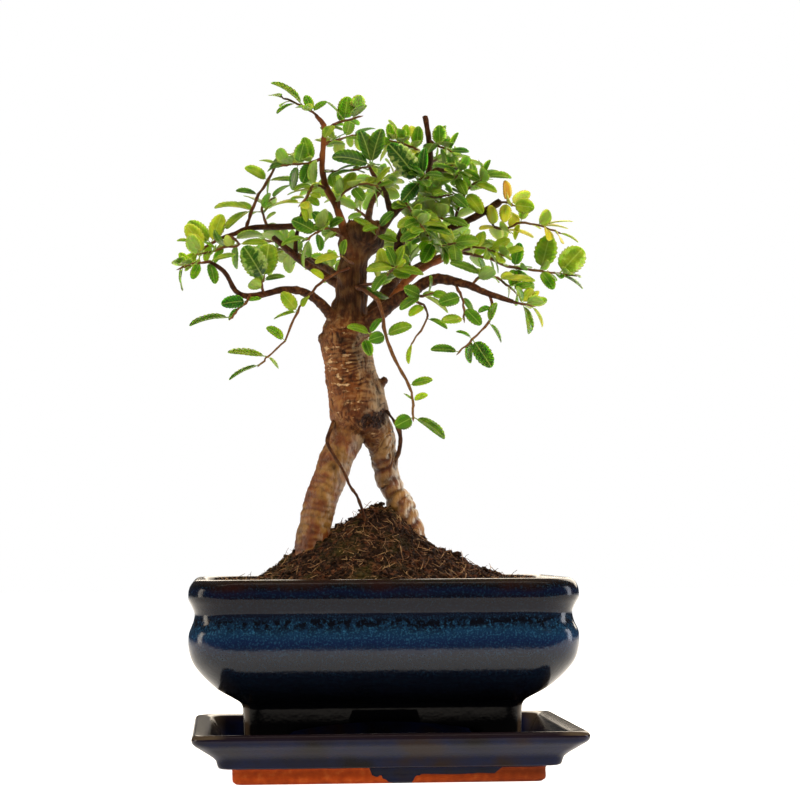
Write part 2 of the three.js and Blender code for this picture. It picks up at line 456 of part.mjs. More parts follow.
// A limb of wood: a ring at each point of its route, turned along with it. A ragged one is torn
// at its end.
function limb(route, sides, grow = 0, uneven = 0, seed = 5, ragged = 0) {
  const random = draws(seed);
  const ways = route.map((p, i) => unit(add(
    route[Math.min(i + 1, route.length - 1)], route[Math.max(i - 1, 0)], -1).slice(0, 3)));
  let out = square(Math.abs(ways[0][1]) < 0.9 ? [0, 1, 0] : [1, 0, 0], ways[0]);
  const rings = route.map((p, i) => {
    out = square(out, ways[i]);
    const aside = cross(ways[i], out);
    return Array.from({ length: sides }, (_, k) => {
      const turn = (2 * Math.PI * k) / sides;
      const radius = p[3] * (1 + uneven * (random() - 0.5)) + grow;
      const torn = i === route.length - 1 ? ragged * (random() - 0.5) + grow : 0;
      return add(add(add(p.slice(0, 3), ways[i], torn),
        out, radius * Math.cos(turn)), aside, radius * Math.sin(turn));
    });
  });
  return skin(rings);
}

function makeWood(grow) {
  return join(limbs.map(({ route, sides, ragged }, i) => (
    solid(limb(route, sides, grow, sides > 7 ? 0.1 : 0.06, 40 + i, ragged)))));
}

// The blade as a plain box, used to keep leaves apart.
function nearBlade(leaf, from, to, room) {
  const local = (p) => {
    const d = add(p, leaf.root, -1);
    return [dot(d, leaf.way), dot(d, leaf.aside), dot(d, leaf.face)];
  };
  const a = local(from);
  const b = local(to);
  const rise = b[2] - a[2];
  let low = 0;
  let high = 1;
  if (Math.abs(rise) > 1e-6) {
    const t = [(-room - a[2]) / rise, (room - a[2]) / rise].sort((p, q) => p - q);
    low = Math.max(low, t[0]);
    high = Math.min(high, t[1]);
  } else if (Math.abs(a[2]) > room) return false;
  if (low > high) return false;
  return [0, 0.25, 0.5, 0.75, 1].some((k) => {
    const p = mix(a, b, low + (high - low) * k);
    const u = (2 * p[0]) / leaf.length - 1.08;
    const wide = (leaf.width / 2) * Math.sqrt(Math.max(0, 1 - u * u)) + room;
    return p[0] > -room && p[0] < leaf.length + room && Math.abs(p[1]) < wide;
  });
}

function edges(leaf) {
  const at = (along, across) => add(add(
    leaf.root, leaf.way, along * leaf.length), leaf.aside, (across * leaf.width) / 2);
  const ring = [at(0.1, 0), at(0.37, 0.95), at(0.7, 0.85), at(1, 0), at(0.7, -0.85), at(0.37, -0.95)];
  return [...ring.map((p, i) => [p, ring[(i + 1) % 6]]), [at(0.1, 0), at(1, 0)]];
}

function blocked(leaf, leaves, sticks) {
  const middle = add(leaf.root, leaf.way, leaf.length / 2);
  const far = (p) => Math.hypot(...add(p, middle, -1));
  const own = edges(leaf);
  const hitsLeaf = leaves.some((other) => {
    const centre = add(other.root, other.way, other.length / 2);
    if (far(centre) > (leaf.length + other.length) / 2 + 2) return false;
    return own.some(([a, b]) => nearBlade(other, a, b, clearance))
      || edges(other).some(([a, b]) => nearBlade(leaf, a, b, clearance));
  });
  return hitsLeaf || sticks.some(({ from, to, radius, spray }) => {
    const span = Math.hypot(...add(to, from, -1));
    if (spray === leaf.spray || far(mix(from, to, 0.5)) > (leaf.length + span) / 2 + radius + 2) {
      return false;
    }
    return nearBlade(leaf, from, to, radius + clearance * 0.7);
  });
}

function newLeaf(root, reach, face, ratio, spray) {
  const way = unit(reach);
  const length = Math.hypot(...reach);
  const up = square(face, way);
  return { root, way, face: up, aside: cross(up, way), length, width: length * ratio, spray };
}

// A leaf that looks the given share as wide as it is long, seen from the front, turned face up.
function measuredLeaf(shoot, [point, x, y, z, look]) {
  const reach = [x, y, z];
  const way = unit(reach);
  const ratio = Math.max(blade.ratio, look);
  const front = square([0, -1, 0.15], way);
  let aside = cross(front, way);
  if (aside[2] < 0) aside = aside.map((v) => -v);
  const lean = Math.acos(Math.min(1, look / ratio));
  const face = add(front.map((v) => v * Math.cos(lean)), aside, Math.sin(lean));
  return newLeaf(shoot.route[point], reach, face, ratio, shoot.spray);
}

// A leaf of the rule: left and right of the shoot in turn, its face to the light and outwards.
function grownLeaf(shoot, k, turn, random) {
  const along = ((k + 0.85) / shoot.grown) * (shoot.route.length - 1);
  const i = Math.min(Math.floor(along), shoot.route.length - 2);
  const root = mix(shoot.route[i], shoot.route[i + 1], Math.min(1, along - i));
  const stem = unit(add(shoot.route[i + 1], shoot.route[i], -1));
  const level = square(cross(stem, [0, 0, 1]), stem);
  const upright = cross(level, stem);
  const angle = (k % 2 ? Math.PI : 0) + turn + (random() - 0.5) * 0.9;
  const side = add(level.map((v) => v * Math.cos(angle)), upright, Math.sin(angle));
  const way = add(stem.map((v) => v * (0.35 + 0.4 * random())), side);
  const length = grownLength[0] + (grownLength[1] - grownLength[0]) * random();
  const reach = unit(way).map((v) => v * length);
  const outward = unit(add(root, crownCentre, -1));
  const stray = [random() - 0.5, random() - 0.5, random() - 0.5];
  const face = add(add([0, 0, 0.8], outward, 0.7), stray, 1.1);
  return newLeaf(root, reach, face, 0.46 + 0.12 * random(), shoot.spray);
}

function placeLeaves() {
  const sticks = limbs.flatMap(({ route }) => route.slice(1).map((p, i) => ({
    from: route[i].slice(0, 3), to: p.slice(0, 3), radius: (p[3] + route[i][3]) / 2, spray: '',
  })));
  for (const { route, spray } of shoots) {
    route.slice(1).forEach((p, i) => sticks.push({ from: route[i], to: p, radius: 1, spray }));
  }
  const leaves = shoots.flatMap((shoot) => shoot.leaves.map((row) => measuredLeaf(shoot, row)));
  shoots.forEach((shoot, s) => {
    for (let k = 0; k < shoot.grown; k += 1) {
      const random = draws(1000 + 50 * s + k);
      for (let trial = 0; trial < 14; trial += 1) {
        const leaf = grownLeaf(shoot, k, trial * 0.75, random);
        const tip = add(leaf.root, leaf.way, leaf.length);
        const inPlan = Math.abs(tip[1]) < 75 && tip[0] > -112 && tip[0] < 112;
        if (inPlan && !blocked(leaf, leaves, sticks)) {
          leaves.push(leaf);
          break;
        }
      }
    }
  });
  return leaves;
}

// The blade: a rib that stands thick in the middle, thinning to a toothed edge, a little folded
// along the rib and arched along its length. Both faces share the edge.
function leafShape(leaf) {
  const at = (along, across, lift) => {
    const half = (across * leaf.width) / 2;
    const height = blade.arch * leaf.length * 4 * along * (1 - along) + blade.fold * Math.abs(half);
    return add(add(add(leaf.root, leaf.way, along * leaf.length), leaf.aside, half),
      leaf.face, height + lift);
  };
  const stalkBack = -0.5 / leaf.length;
  const [stalkEnd, belly] = blade.ribAt;
  const points = [at(stalkBack, 0, 0), at(1, 0, 0), at(stalkEnd, 0, blade.stalkRise),
    at(belly, 0, blade.thick / 2), at(belly, 0, -blade.thick / 2)];
  const faces = [];
  const outline = leaf.length < blade.smallBelow ? blade.smallOutline : blade.outline;
  for (const side of [1, -1]) {
    const first = points.length;
    outline.forEach(([along, across]) => points.push(at(along, across * side, 0)));
    const edge = [0, ...outline.map((_, i) => first + i), 1];
    const push = (a, b, c, up) => faces.push(side * up > 0 ? [a, c, b] : [a, b, c]);
    push(edge[0], edge[1], 2, 1);
    push(edge[1], edge[2], 2, 1);
    push(2, edge[2], 3, 1);
    for (let i = 2; i + 1 < edge.length; i += 1) push(edge[i], edge[i + 1], 3, 1);
    for (let i = 0; i + 1 < edge.length; i += 1) push(edge[i], edge[i + 1], 4, -1);
  }
  return geometry(points, faces);
}

function shootSolid({ route }) {
  const last = route[route.length - 1];
  const way = unit(add(last, route[route.length - 2], -1));
  const whole = [...route, add(last, way, budLength)];
  const [thick, thin] = shootRadius;
  return solid(limb(whole.map((p, i) => (
    [...p, thick + ((thin - thick) * i) / (whole.length - 1)])), 3));
}

function makeSpray(shoot, leaves, woodRoom) {
  const own = leaves.filter((leaf) => leaf.spray === shoot.spray);
  const parts = [shootSolid(shoot), ...own.map((leaf) => solid(leafShape(leaf)))];
  return largest(join(parts).subtract(woodRoom));
}

function toneColour(tone) {
  const light = new THREE.Color('#a3ad32');
  return light.lerp(new THREE.Color('#24501a'), tone);
}

function mesh(name, shape, colour, roughness) {
  const material = new THREE.MeshStandardMaterial({ color: colour, roughness, metalness: 0 });
  const piece = new THREE.Mesh(shape, material);
  piece.name = name;
  return piece;
}

const tree = new THREE.Group();
tree.add(mesh('saucer', makeSaucer(), '#1d2a4a', 0.2));
tree.add(mesh('pot', fromSolid(makePot()), '#14245a', 0.15));

const wood = makeWood(0);
const woodRoom = makeWood(touchGap);
tree.add(mesh('soil', fromSolid(makeSoil(woodRoom)), '#2f1d13', 1));
tree.add(mesh('trunk', fromSolid(wood), '#7d5230', 0.85));

const leaves = placeLeaves();
for (const shoot of shoots) {
  const shape = fromSolid(makeSpray(shoot, leaves, woodRoom));
  tree.add(mesh(`spray_${shoot.spray}`, shape, toneColour(shoot.tone), 0.5));
}

export default tree;
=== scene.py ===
# A small Chinese elm bonsai in its glazed pot: bark, leaves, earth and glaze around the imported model.
import bpy
import json
import math
import numpy as np
from mathutils import Matrix, Vector, noise

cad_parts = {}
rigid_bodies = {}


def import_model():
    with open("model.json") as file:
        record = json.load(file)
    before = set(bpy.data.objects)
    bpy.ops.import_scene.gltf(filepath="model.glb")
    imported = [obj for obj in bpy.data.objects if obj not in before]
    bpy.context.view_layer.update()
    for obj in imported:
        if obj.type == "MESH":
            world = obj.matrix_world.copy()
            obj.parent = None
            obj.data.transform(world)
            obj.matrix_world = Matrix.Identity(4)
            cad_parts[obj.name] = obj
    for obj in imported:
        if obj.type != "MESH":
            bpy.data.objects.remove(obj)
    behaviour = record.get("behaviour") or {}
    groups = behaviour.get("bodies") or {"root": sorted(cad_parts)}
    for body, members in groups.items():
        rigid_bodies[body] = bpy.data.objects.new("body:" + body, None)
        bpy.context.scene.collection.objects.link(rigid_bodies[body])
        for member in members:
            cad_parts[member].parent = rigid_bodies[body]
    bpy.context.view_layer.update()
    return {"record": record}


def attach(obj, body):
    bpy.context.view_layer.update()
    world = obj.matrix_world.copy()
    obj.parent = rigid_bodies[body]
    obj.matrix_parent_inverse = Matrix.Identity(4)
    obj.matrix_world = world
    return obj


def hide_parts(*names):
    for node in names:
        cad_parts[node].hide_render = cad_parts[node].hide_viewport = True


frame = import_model()
mm = 0.001
root = "root"            # the whole thing is one body


# helpers: colour, nodes, meshes, seeded draws and small vector sums

def hexColour(code):
    linear = []
    for i in (1, 3, 5):
        c = int(code[i:i + 2], 16) / 255
        linear.append(c / 12.92 if c <= 0.04045 else ((c + 0.055) / 1.055) ** 2.4)
    return (*linear, 1.0)


def feed(tree, node, inputs):  # a node given as a value stands for its first output in use
    for socket, value in inputs.items() if isinstance(inputs, dict) else enumerate(inputs):
        if isinstance(value, bpy.types.Node):
            value = next(out for out in value.outputs if out.enabled)
        if isinstance(value, bpy.types.NodeSocket):
            tree.links.new(value, node.inputs[socket])
        else:
            node.inputs[socket].default_value = value


def addNode(tree, kind, inputs=(), stops=None, **settings):
    made = tree.nodes.new(kind)
    for name, value in settings.items():
        setattr(made, name, value)
    feed(tree, made, inputs)
    if stops:
        elements = made.color_ramp.elements
        for i, (place, shade) in enumerate(stops):
            stop = elements[i] if i < 2 else elements.new(place)
            stop.position = place
            stop.color = hexColour(shade) if isinstance(shade, str) else (shade, shade, shade, 1)
    return made


def startMaterial(name):
    material = bpy.data.materials.new(name)
    material.use_nodes = True
    tree = material.node_tree
    shader = next(n for n in tree.nodes if n.type == "BSDF_PRINCIPLED")
    return material, tree, shader, addNode(tree, "ShaderNodeTexCoord").outputs


def startNodes(name, inputs):  # a geometry tree with one named input for each thing given
    tree = bpy.data.node_groups.new(name, "GeometryNodeTree")
    for socket, kind in {"Geometry": "Geometry", **inputs}.items():
        tree.interface.new_socket(socket, in_out="INPUT", socket_type="NodeSocket" + kind)
    tree.interface.new_socket("Geometry", in_out="OUTPUT", socket_type="NodeSocketGeometry")
    return tree, addNode(tree, "NodeGroupInput").outputs


def runNodes(piece, tree, values):  # a modifier's input is set by its socket's identifier
    run = piece.modifiers.new(tree.name, "NODES")
    run.node_group = tree
    for socket in tree.interface.items_tree:
        if socket.name in values and socket.in_out == "INPUT":
            run[socket.identifier] = values[socket.name]
    return baked(piece)


def draws(seed):  # even numbers from 0 to 1, the same on every run
    state = seed

    def draw():
        nonlocal state
        state = (state * 1664525 + 1013904223) % 4294967296
        return state / 4294967296
    return draw


def add(a, b, k=1.0):
    return [a[0] + b[0] * k, a[1] + b[1] * k, a[2] + b[2] * k]


def times(a, k):
    return [v * k for v in a]


def dot(a, b):
    return a[0] * b[0] + a[1] * b[1] + a[2] * b[2]


def cross(a, b):
    return [a[1] * b[2] - a[2] * b[1], a[2] * b[0] - a[0] * b[2], a[0] * b[1] - a[1] * b[0]]


def size(a):
    return math.sqrt(dot(a, a))


def unit(a):
    return times(a, 1 / size(a))


def mix(a, b, t):
    return add(a, add(b, a, -1), t)


def square(a, b):  # a made square to the unit vector b
    return unit(add(a, b, -dot(a, b)))


def meshObject(name, points, faces, materials, smooth=True):
    mesh = bpy.data.meshes.new(name)
    mesh.from_pydata([tuple(p) for p in points], [], [tuple(f) for f in faces])
    for material in materials:
        mesh.materials.append(material)
    mesh.polygons.foreach_set("use_smooth", [smooth] * len(mesh.polygons))
    mesh.update()
    piece = bpy.data.objects.new(name, mesh)
    bpy.context.scene.collection.objects.link(piece)
    return piece


def giveAttribute(mesh, name, values, kind="FLOAT"):
    attribute = mesh.attributes.new(name, kind, "POINT")
    if kind in ("FLOAT", "FLOAT_VECTOR"):
        values = np.asarray(values, dtype=np.float32).ravel()
    attribute.data.foreach_set("vector" if kind == "FLOAT_VECTOR" else "value", values)


def baked(piece):  # the piece with its modifiers worked into a plain mesh
    shown = piece.evaluated_get(bpy.context.evaluated_depsgraph_get())
    mesh = bpy.data.meshes.new_from_object(shown)
    piece.modifiers.clear()
    old = piece.data
    piece.data = mesh
    mesh.name = piece.name
    bpy.data.meshes.remove(old)
    return piece


def shelve(name, pieces):  # shapes that a tree places, kept apart until it has run
    shelf = bpy.data.collections.new(name)
    bpy.context.scene.collection.children.link(shelf)
    for piece in pieces:
        bpy.context.scene.collection.objects.unlink(piece)
        shelf.objects.link(piece)
    return shelf


def clearShelf(shelf):
    for piece in list(shelf.objects):
        bpy.data.objects.remove(piece)
    bpy.data.collections.remove(shelf)


def finishPiece(piece, slot, *nodes):
    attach(piece, root)
    if nodes:
        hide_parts(*nodes)


def ringFaces(rings, count, start=0):
    faces = []
    for r in range(rings - 1):
        a, b = start + r * count, start + (r + 1) * count
        for i in range(count):
            j = (i + 1) % count
            faces.append((a + i, a + j, b + j, b + i))
    return faces


# studio: pale floor, soft light, and the camera that took the photo's view

studio = {
    "cameraAt": (-84.4, -1274, 125.1), "yaw": 4.25, "pitch": 3.4, "roll": 0.334,
    "focal": 105.9, "sensor": 36, "paintScale": 9.0, "paint": [(0.3, "#f1f0ee"), (0.7, "#f4f3f1")],
    "floorAcross": 9000, "floorFront": 300,  # a table edge in front, which the glaze mirrors
    "keyWarm": "#fff1dc", "fillCool": "#f3f6ff", "skyShown": "#ffffff", "skyLight": "#e9ecf0",
    "skyStrength": 0.27, "skyMirrored": 0.07, "floorShown": 0.9, "floorGlow": 0.42,
    "lights": [  # [name, at, height of its aim, across, watts, shade, whether it shows in the glaze]
        ("keyRight", (650, -850, 750), 180, (500, 500), 16, "keyWarm", False),
        ("softLeft", (-900, -500, 650), 180, (700, 700), 7, "keyWarm", False),
        ("topBack", (60, 420, 1200), 150, (1300, 600), 15, "keyWarm", False),
        ("rimStrip", (0, -330, 1300), 100, (1500, 130), 2, "keyWarm", True),
        ("edgeLeft", (-1100, 60, 260), 90, (260, 700), 4, "keyWarm", True),
        ("edgeRight", (1100, 60, 260), 90, (260, 700), 4, "fillCool", True),
        ("leafBack", (300, 1100, 600), 250, (1200, 700), 10, "keyWarm", True)],
}


def makeCamera():
    yaw, pitch, roll = (math.radians(studio[k]) for k in ("yaw", "pitch", "roll"))
    ahead = Vector((math.sin(yaw) * math.cos(pitch), math.cos(yaw) * math.cos(pitch), math.sin(pitch)))
    right = Vector((math.cos(yaw), -math.sin(yaw), 0))
    up = right.cross(ahead)
    tilted = right * math.cos(roll) - up * math.sin(roll)
    upright = right * math.sin(roll) + up * math.cos(roll)
    data = bpy.data.cameras.new("photoCamera")
    data.lens = studio["focal"]
    data.sensor_width = studio["sensor"]
    data.clip_end = 60
    camera = bpy.data.objects.new("photoCamera", data)
    bpy.context.scene.collection.objects.link(camera)
    turn = Matrix((tilted, upright, -ahead)).transposed()
    camera.matrix_world = Matrix.Translation(Vector(studio["cameraAt"]) * mm) @ turn.to_4x4()
    bpy.context.scene.camera = camera


def makeLight(name, at, aim, across, power, shade, mirrored):
    data = bpy.data.lights.new(name, "AREA")
    data.shape = "RECTANGLE"
    data.size, data.size_y = across[0] * mm, across[1] * mm
    data.energy = power
    data.color = hexColour(shade)[:3]
    light = bpy.data.objects.new(name, data)
    bpy.context.scene.collection.objects.link(light)
    light.location = Vector(at) * mm
    light.visible_glossy = mirrored
    light.rotation_euler = (Vector(aim) - Vector(at)).to_track_quat("-Z", "Y").to_euler()


def makeStudio():
    half = studio["floorAcross"] / 2 * mm
    front = -studio["floorFront"] * mm
    corners = [(-half, front, 0), (half, front, 0), (half, half, 0), (-half, half, 0)]
    material, tree, shader, coords = startMaterial("paintedTable")  # matt white paint, a faint unevenness
    grain = addNode(tree, "ShaderNodeTexNoise", {"Vector": coords["Object"], "Scale": studio["paintScale"]})
    tint = addNode(tree, "ShaderNodeValToRGB", [grain], stops=studio["paint"])
    rays = addNode(tree, "ShaderNodeLightPath")
    glow = addNode(tree, "ShaderNodeMapRange", {  # as bright as an overlit table
        "Value": rays.outputs["Is Camera Ray"],
        "To Min": studio["floorGlow"], "To Max": studio["floorShown"]})
    feed(tree, shader, {
        "Base Color": tint, "Roughness": 0.85, "Specular IOR Level": 0.2,
        "Emission Color": hexColour("#ffffff"), "Emission Strength": glow})
    meshObject("studioFloor", corners, [(0, 1, 2, 3)], [material], smooth=False)
    for name, at, aimHeight, across, power, shade, mirrored in studio["lights"]:
        makeLight(name, at, (0, 0, aimHeight), across, power, studio[shade], mirrored)
    world = bpy.data.worlds.new("softRoom")
    bpy.context.scene.world = world
    world.use_nodes = True
    tree = world.node_tree
    tree.nodes.clear()
    rays = addNode(tree, "ShaderNodeLightPath").outputs
    shown, lighting, mirrored = (
        addNode(tree, "ShaderNodeBackground", {"Color": hexColour(studio[shade]), "Strength": strength})
        for shade, strength in (("skyShown", 1.0), ("skyLight", studio["skyStrength"]),
                                ("skyLight", studio["skyMirrored"])))
    unseen = addNode(tree, "ShaderNodeMixShader", [rays["Is Glossy Ray"], lighting, mirrored])
    both = addNode(tree, "ShaderNodeMixShader", [rays["Is Camera Ray"], unseen, shown])
    addNode(tree, "ShaderNodeOutputWorld", {"Surface": both})
    bpy.context.scene.view_settings.view_transform = "Standard"
    print("studio ready")


makeCamera()
makeStudio()


# pot and saucer: thrown-looking glazed stoneware, with the profile swept round a soft rectangle

pot = {
    "centreX": -2.2, "widerThanDeep": 26.3, "cornerRadius": 24, "widest": 101.5, "cornerTaper": 0.42,
    "profile": [
        [66.5, 33], [67, 8.4], [68, 7], [71, 7], [72, 8.6], [73.4, 37.5], [74.6, 40.6], [78, 43],
        [86, 47.8], [91.5, 52.6], [96, 57.5], [99.1, 62], [100.8, 66.7], [101.5, 72], [101.2, 77.5],
        [99.2, 82.4], [98.3, 87.4], [99.7, 91.4], [101.4, 95], [101.4, 99], [100.2, 102.4],
        [98, 104.6], [95.4, 105.1], [93, 103.8], [91.8, 100], [91.2, 72], [88.4, 60], [79, 50.5],
        [70, 45.6], [60, 44]],
    "archHalf": 57, "archHalfSide": 30, "archTop": 31, "archShoulder": 25, "archLow": 5, "archSteps": 16,
    "archLong": 220, "archLongSide": 240, "drainRadius": 6, "drainAt": 42, "drainSteps": 28,
    "drainFromTo": (18, 58), "cornerSteps": 14, "sideSteps": 44, "finer": 4, "uneven": 0.16,
}
saucer = {
    "halfWidth": 102, "halfDepth": 78, "cornerRadius": 8, "cornerTaper": 0.15,
    "profile": [
        [22.7, 0], [21, 1.6], [20.4, 8], [14, 9], [12, 13.5], [5, 18.8], [1, 21.8], [0, 24.2],
        [0.9, 26.2], [2.6, 27], [8.6, 26.3], [10.2, 24.4], [17, 12], [20, 8.2], [23, 7]],
    "cornerSteps": 8, "sideSteps": 44, "finer": 5, "uneven": 0.12, "sharpest": 1.5,
}


def smoothProfile(points, finer):  # a curve through the points, denser where they are
    points = [np.array(p, float) for p in points]
    path = []
    for i in range(len(points) - 1):
        before, a, b, after = (points[max(0, min(len(points) - 1, k))] for k in (i - 1, i, i + 1, i + 2))
        reach = np.linalg.norm(b - a)
        slopeA = (b - before) / max(np.linalg.norm(b - a) + np.linalg.norm(a - before), 1e-6) * reach
        slopeB = (after - a) / max(np.linalg.norm(after - b) + np.linalg.norm(b - a), 1e-6) * reach
        for k in range(finer):
            t = k / finer
            path.append((2 * t**3 - 3 * t**2 + 1) * a + (t**3 - 2 * t**2 + t) * slopeA
                        + (3 * t**2 - 2 * t**3) * b + (t**3 - t**2) * slopeB)
    path.append(points[-1])
    return path


def softRing(halfX, halfY, radius, cornerSteps, sideSteps, centreX=0.0):
    ring = []
    corners = [(1, -1, -90), (1, 1, 0), (-1, 1, 90), (-1, -1, 180)]
    for k, (sx, sy, start) in enumerate(corners):
        for i in range(cornerSteps + 1):
            turn = math.radians(start + 90 * i / cornerSteps)
            ring.append((centreX + sx * (halfX - radius) + radius * math.cos(turn),
                         sy * (halfY - radius) + radius * math.sin(turn)))
        nx, ny, _ = corners[(k + 1) % 4]
        a = ring[-1]
        b = (centreX + nx * (halfX - (radius if k % 2 else 0)), ny * (halfY - (0 if k % 2 else radius)))
        steps = sideSteps // 2 if k % 2 == 0 else sideSteps
        ring += [(a[0] + (b[0] - a[0]) * i / steps, a[1] + (b[1] - a[1]) * i / steps)
                 for i in range(1, steps)]
    return ring


def vesselMesh(name, rings, materials, uneven, caps):
    count = len(rings[0])
    points = [Vector(p) for ring in rings for p in ring]
    for p in points:  # the hand-finished wall isn't quite even
        bump = noise.noise(p / 17) * 0.7 + noise.noise(p / 6) * 0.3
        away = Vector((p.x, p.y, 0)).normalized()
        p -= away * abs(bump) * uneven
    faces = ringFaces(len(rings), count)
    for (first, level), flip in zip(caps, (True, False)):
        middle = len(points)
        points.append(Vector(level))
        start = first * count
        for i in range(count):
            j = (i + 1) % count
            faces.append((middle, start + j, start + i) if flip else (middle, start + i, start + j))
    return meshObject(name, [p * mm for p in points], faces, materials)


def makeSaucer(material):
    rings = []
    for inset, z in smoothProfile(saucer["profile"], saucer["finer"]):
        radius = max(saucer["sharpest"], saucer["cornerRadius"] - inset * saucer["cornerTaper"])
        rings.append([(x, y, z) for x, y in softRing(
            saucer["halfWidth"] - inset, saucer["halfDepth"] - inset, radius,
            saucer["cornerSteps"], saucer["sideSteps"])])
    floor = saucer["profile"][-1][1]
    piece = vesselMesh("glazedSaucer", rings, [material], saucer["uneven"],
                       [(0, (0, 0, 0)), (len(rings) - 1, (0, 0, floor))])
    finishPiece(piece, "saucer_glaze", "saucer")


def cutter(name, near, far):  # a straight-sided body between two outlines, to be cut away
    n = len(near)
    faces = [tuple(range(n - 1, -1, -1)), tuple(range(n, 2 * n))]
    faces += [(i, (i + 1) % n, n + (i + 1) % n, n + i) for i in range(n)]
    return meshObject(name, [times(p, mm) for p in near + far], faces, [], smooth=False)


def archCutter(half, length, alongX):
    top, shoulder, low = pot["archTop"], pot["archShoulder"], pot["archLow"]
    outline = [(-half, low), (half, low)]
    for bend, end in (((half - 2, shoulder), (half - 12, shoulder + 2)),
                      ((0, top + 4), (12 - half, shoulder + 2)),
                      ((2 - half, shoulder), (-half, low))):
        a = outline[-1]
        for i in range(1, pot["archSteps"] + 1):
            t = i / pot["archSteps"]
            outline.append([(1 - t)**2 * a[k] + 2 * t * (1 - t) * bend[k] + t * t * end[k]
                            for k in (0, 1)])
    outline.pop()
    sides = [[(side, u, z) if alongX else (u + pot["centreX"], -side, z) for u, z in outline]
             for side in (-length / 2, length / 2)]
    return cutter("archCutter", *sides)


def drainCutter(x):
    steps, radius = pot["drainSteps"], pot["drainRadius"]
    turns = [math.tau * i / steps for i in range(steps)]
    rings = [[(x + radius * math.cos(turn), radius * math.sin(turn), z) for turn in turns]
             for z in pot["drainFromTo"]]
    return cutter("drainCutter", *rings)


def makePot(material):
    rings = []
    for half, z in smoothProfile(pot["profile"], pot["finer"]):
        radius = pot["cornerRadius"] - (pot["widest"] - half) * pot["cornerTaper"]
        rings.append([(x, y, z) for x, y in softRing(
            half, half - pot["widerThanDeep"], radius, pot["cornerSteps"], pot["sideSteps"], pot["centreX"])])
    under, floor = pot["profile"][0][1], pot["profile"][-1][1]
    piece = vesselMesh("glazedPot", rings, [material], pot["uneven"],
                       [(0, (pot["centreX"], 0, under)), (len(rings) - 1, (pot["centreX"], 0, floor))])
    cutters = [archCutter(pot["archHalf"], pot["archLong"], False),
               archCutter(pot["archHalfSide"], pot["archLongSide"], True)]
    cutters += [drainCutter(pot["centreX"] + sign * pot["drainAt"]) for sign in (-1, 1)]
    for tool in cutters:
        cut = piece.modifiers.new("cut", "BOOLEAN")
        cut.object = tool
        cut.operation = "DIFFERENCE"
        cut.solver = "EXACT"
    baked(piece)
    for tool in cutters:
        bpy.data.objects.remove(tool)
    finishPiece(piece, "pot_glaze", "pot")


cobalt = {
    "height": 106, "sag": 6,  # the bands of colour go by height, and sag by some mm
    "clouds": {  # across in mm, detail, roughness, and how tall they are for their width
        "sag": (23.81, 3, 0.5, 1), "specks": (1, 2, 0.6, 1), "runs": (2.941, 4, 0.65, 0.8),
        "patches": (29.41, 5, 0.5, 1), "pits": (2.083, 3, 0.5, 1)},
    "bands": {  # by the share of the height
        "body": [(0.0, "#070504"), (0.40, "#030406"), (0.50, "#05070f"), (0.62, "#060d1c"),
                 (0.69, "#091632"), (0.74, "#0d263f"), (0.785, "#09192c"), (0.82, "#0a0d1a"),
                 (0.87, "#0b0c17"), (0.90, "#070812"), (0.93, "#070c20"), (0.955, "#0a080a"),
                 (1.0, "#241c17")],
        "specks": [(0.40, 0.0), (0.48, 0.06), (0.60, 0.14), (0.69, 0.25), (0.745, 0.75), (0.79, 0.4),
                   (0.83, 0.06), (0.93, 0.16), (1.0, 0.06)],
        "runs": [(0.715, 0.0), (0.75, 0.5), (0.775, 1.0), (0.795, 1.0), (0.812, 0.0)],
        "patches": [(0.86, 0.0), (0.93, 0.25), (0.955, 1.0), (1.0, 0.8)],
        "foot": [(0.34, 0.8), (0.38, 0.0)],
        "shine": [(0.0, 0.08), (0.36, 0.08), (0.44, 0.27), (0.80, 0.27), (0.84, 0.15)]},
    "marks": [  # teal speckle, black runs under the neck, iron brown on the bead and the lip
        ("specks", [(0.52, 0.0), (0.66, 1.0)], "#25506c"),
        ("runs", [(0.44, 0.0), (0.53, 1.0)], "#05060d"),
        ("patches", [(0.48, 0.0), (0.66, 1.0)], "#1d0c0a")],
    "paintedCornerHighlightFrom": {"X": (69.5, 72.5), "Y": (36, 42)}, "paintedCornerHighlight": "#59493a",  # a painted highlight, light brown, on the corners of the foot
}


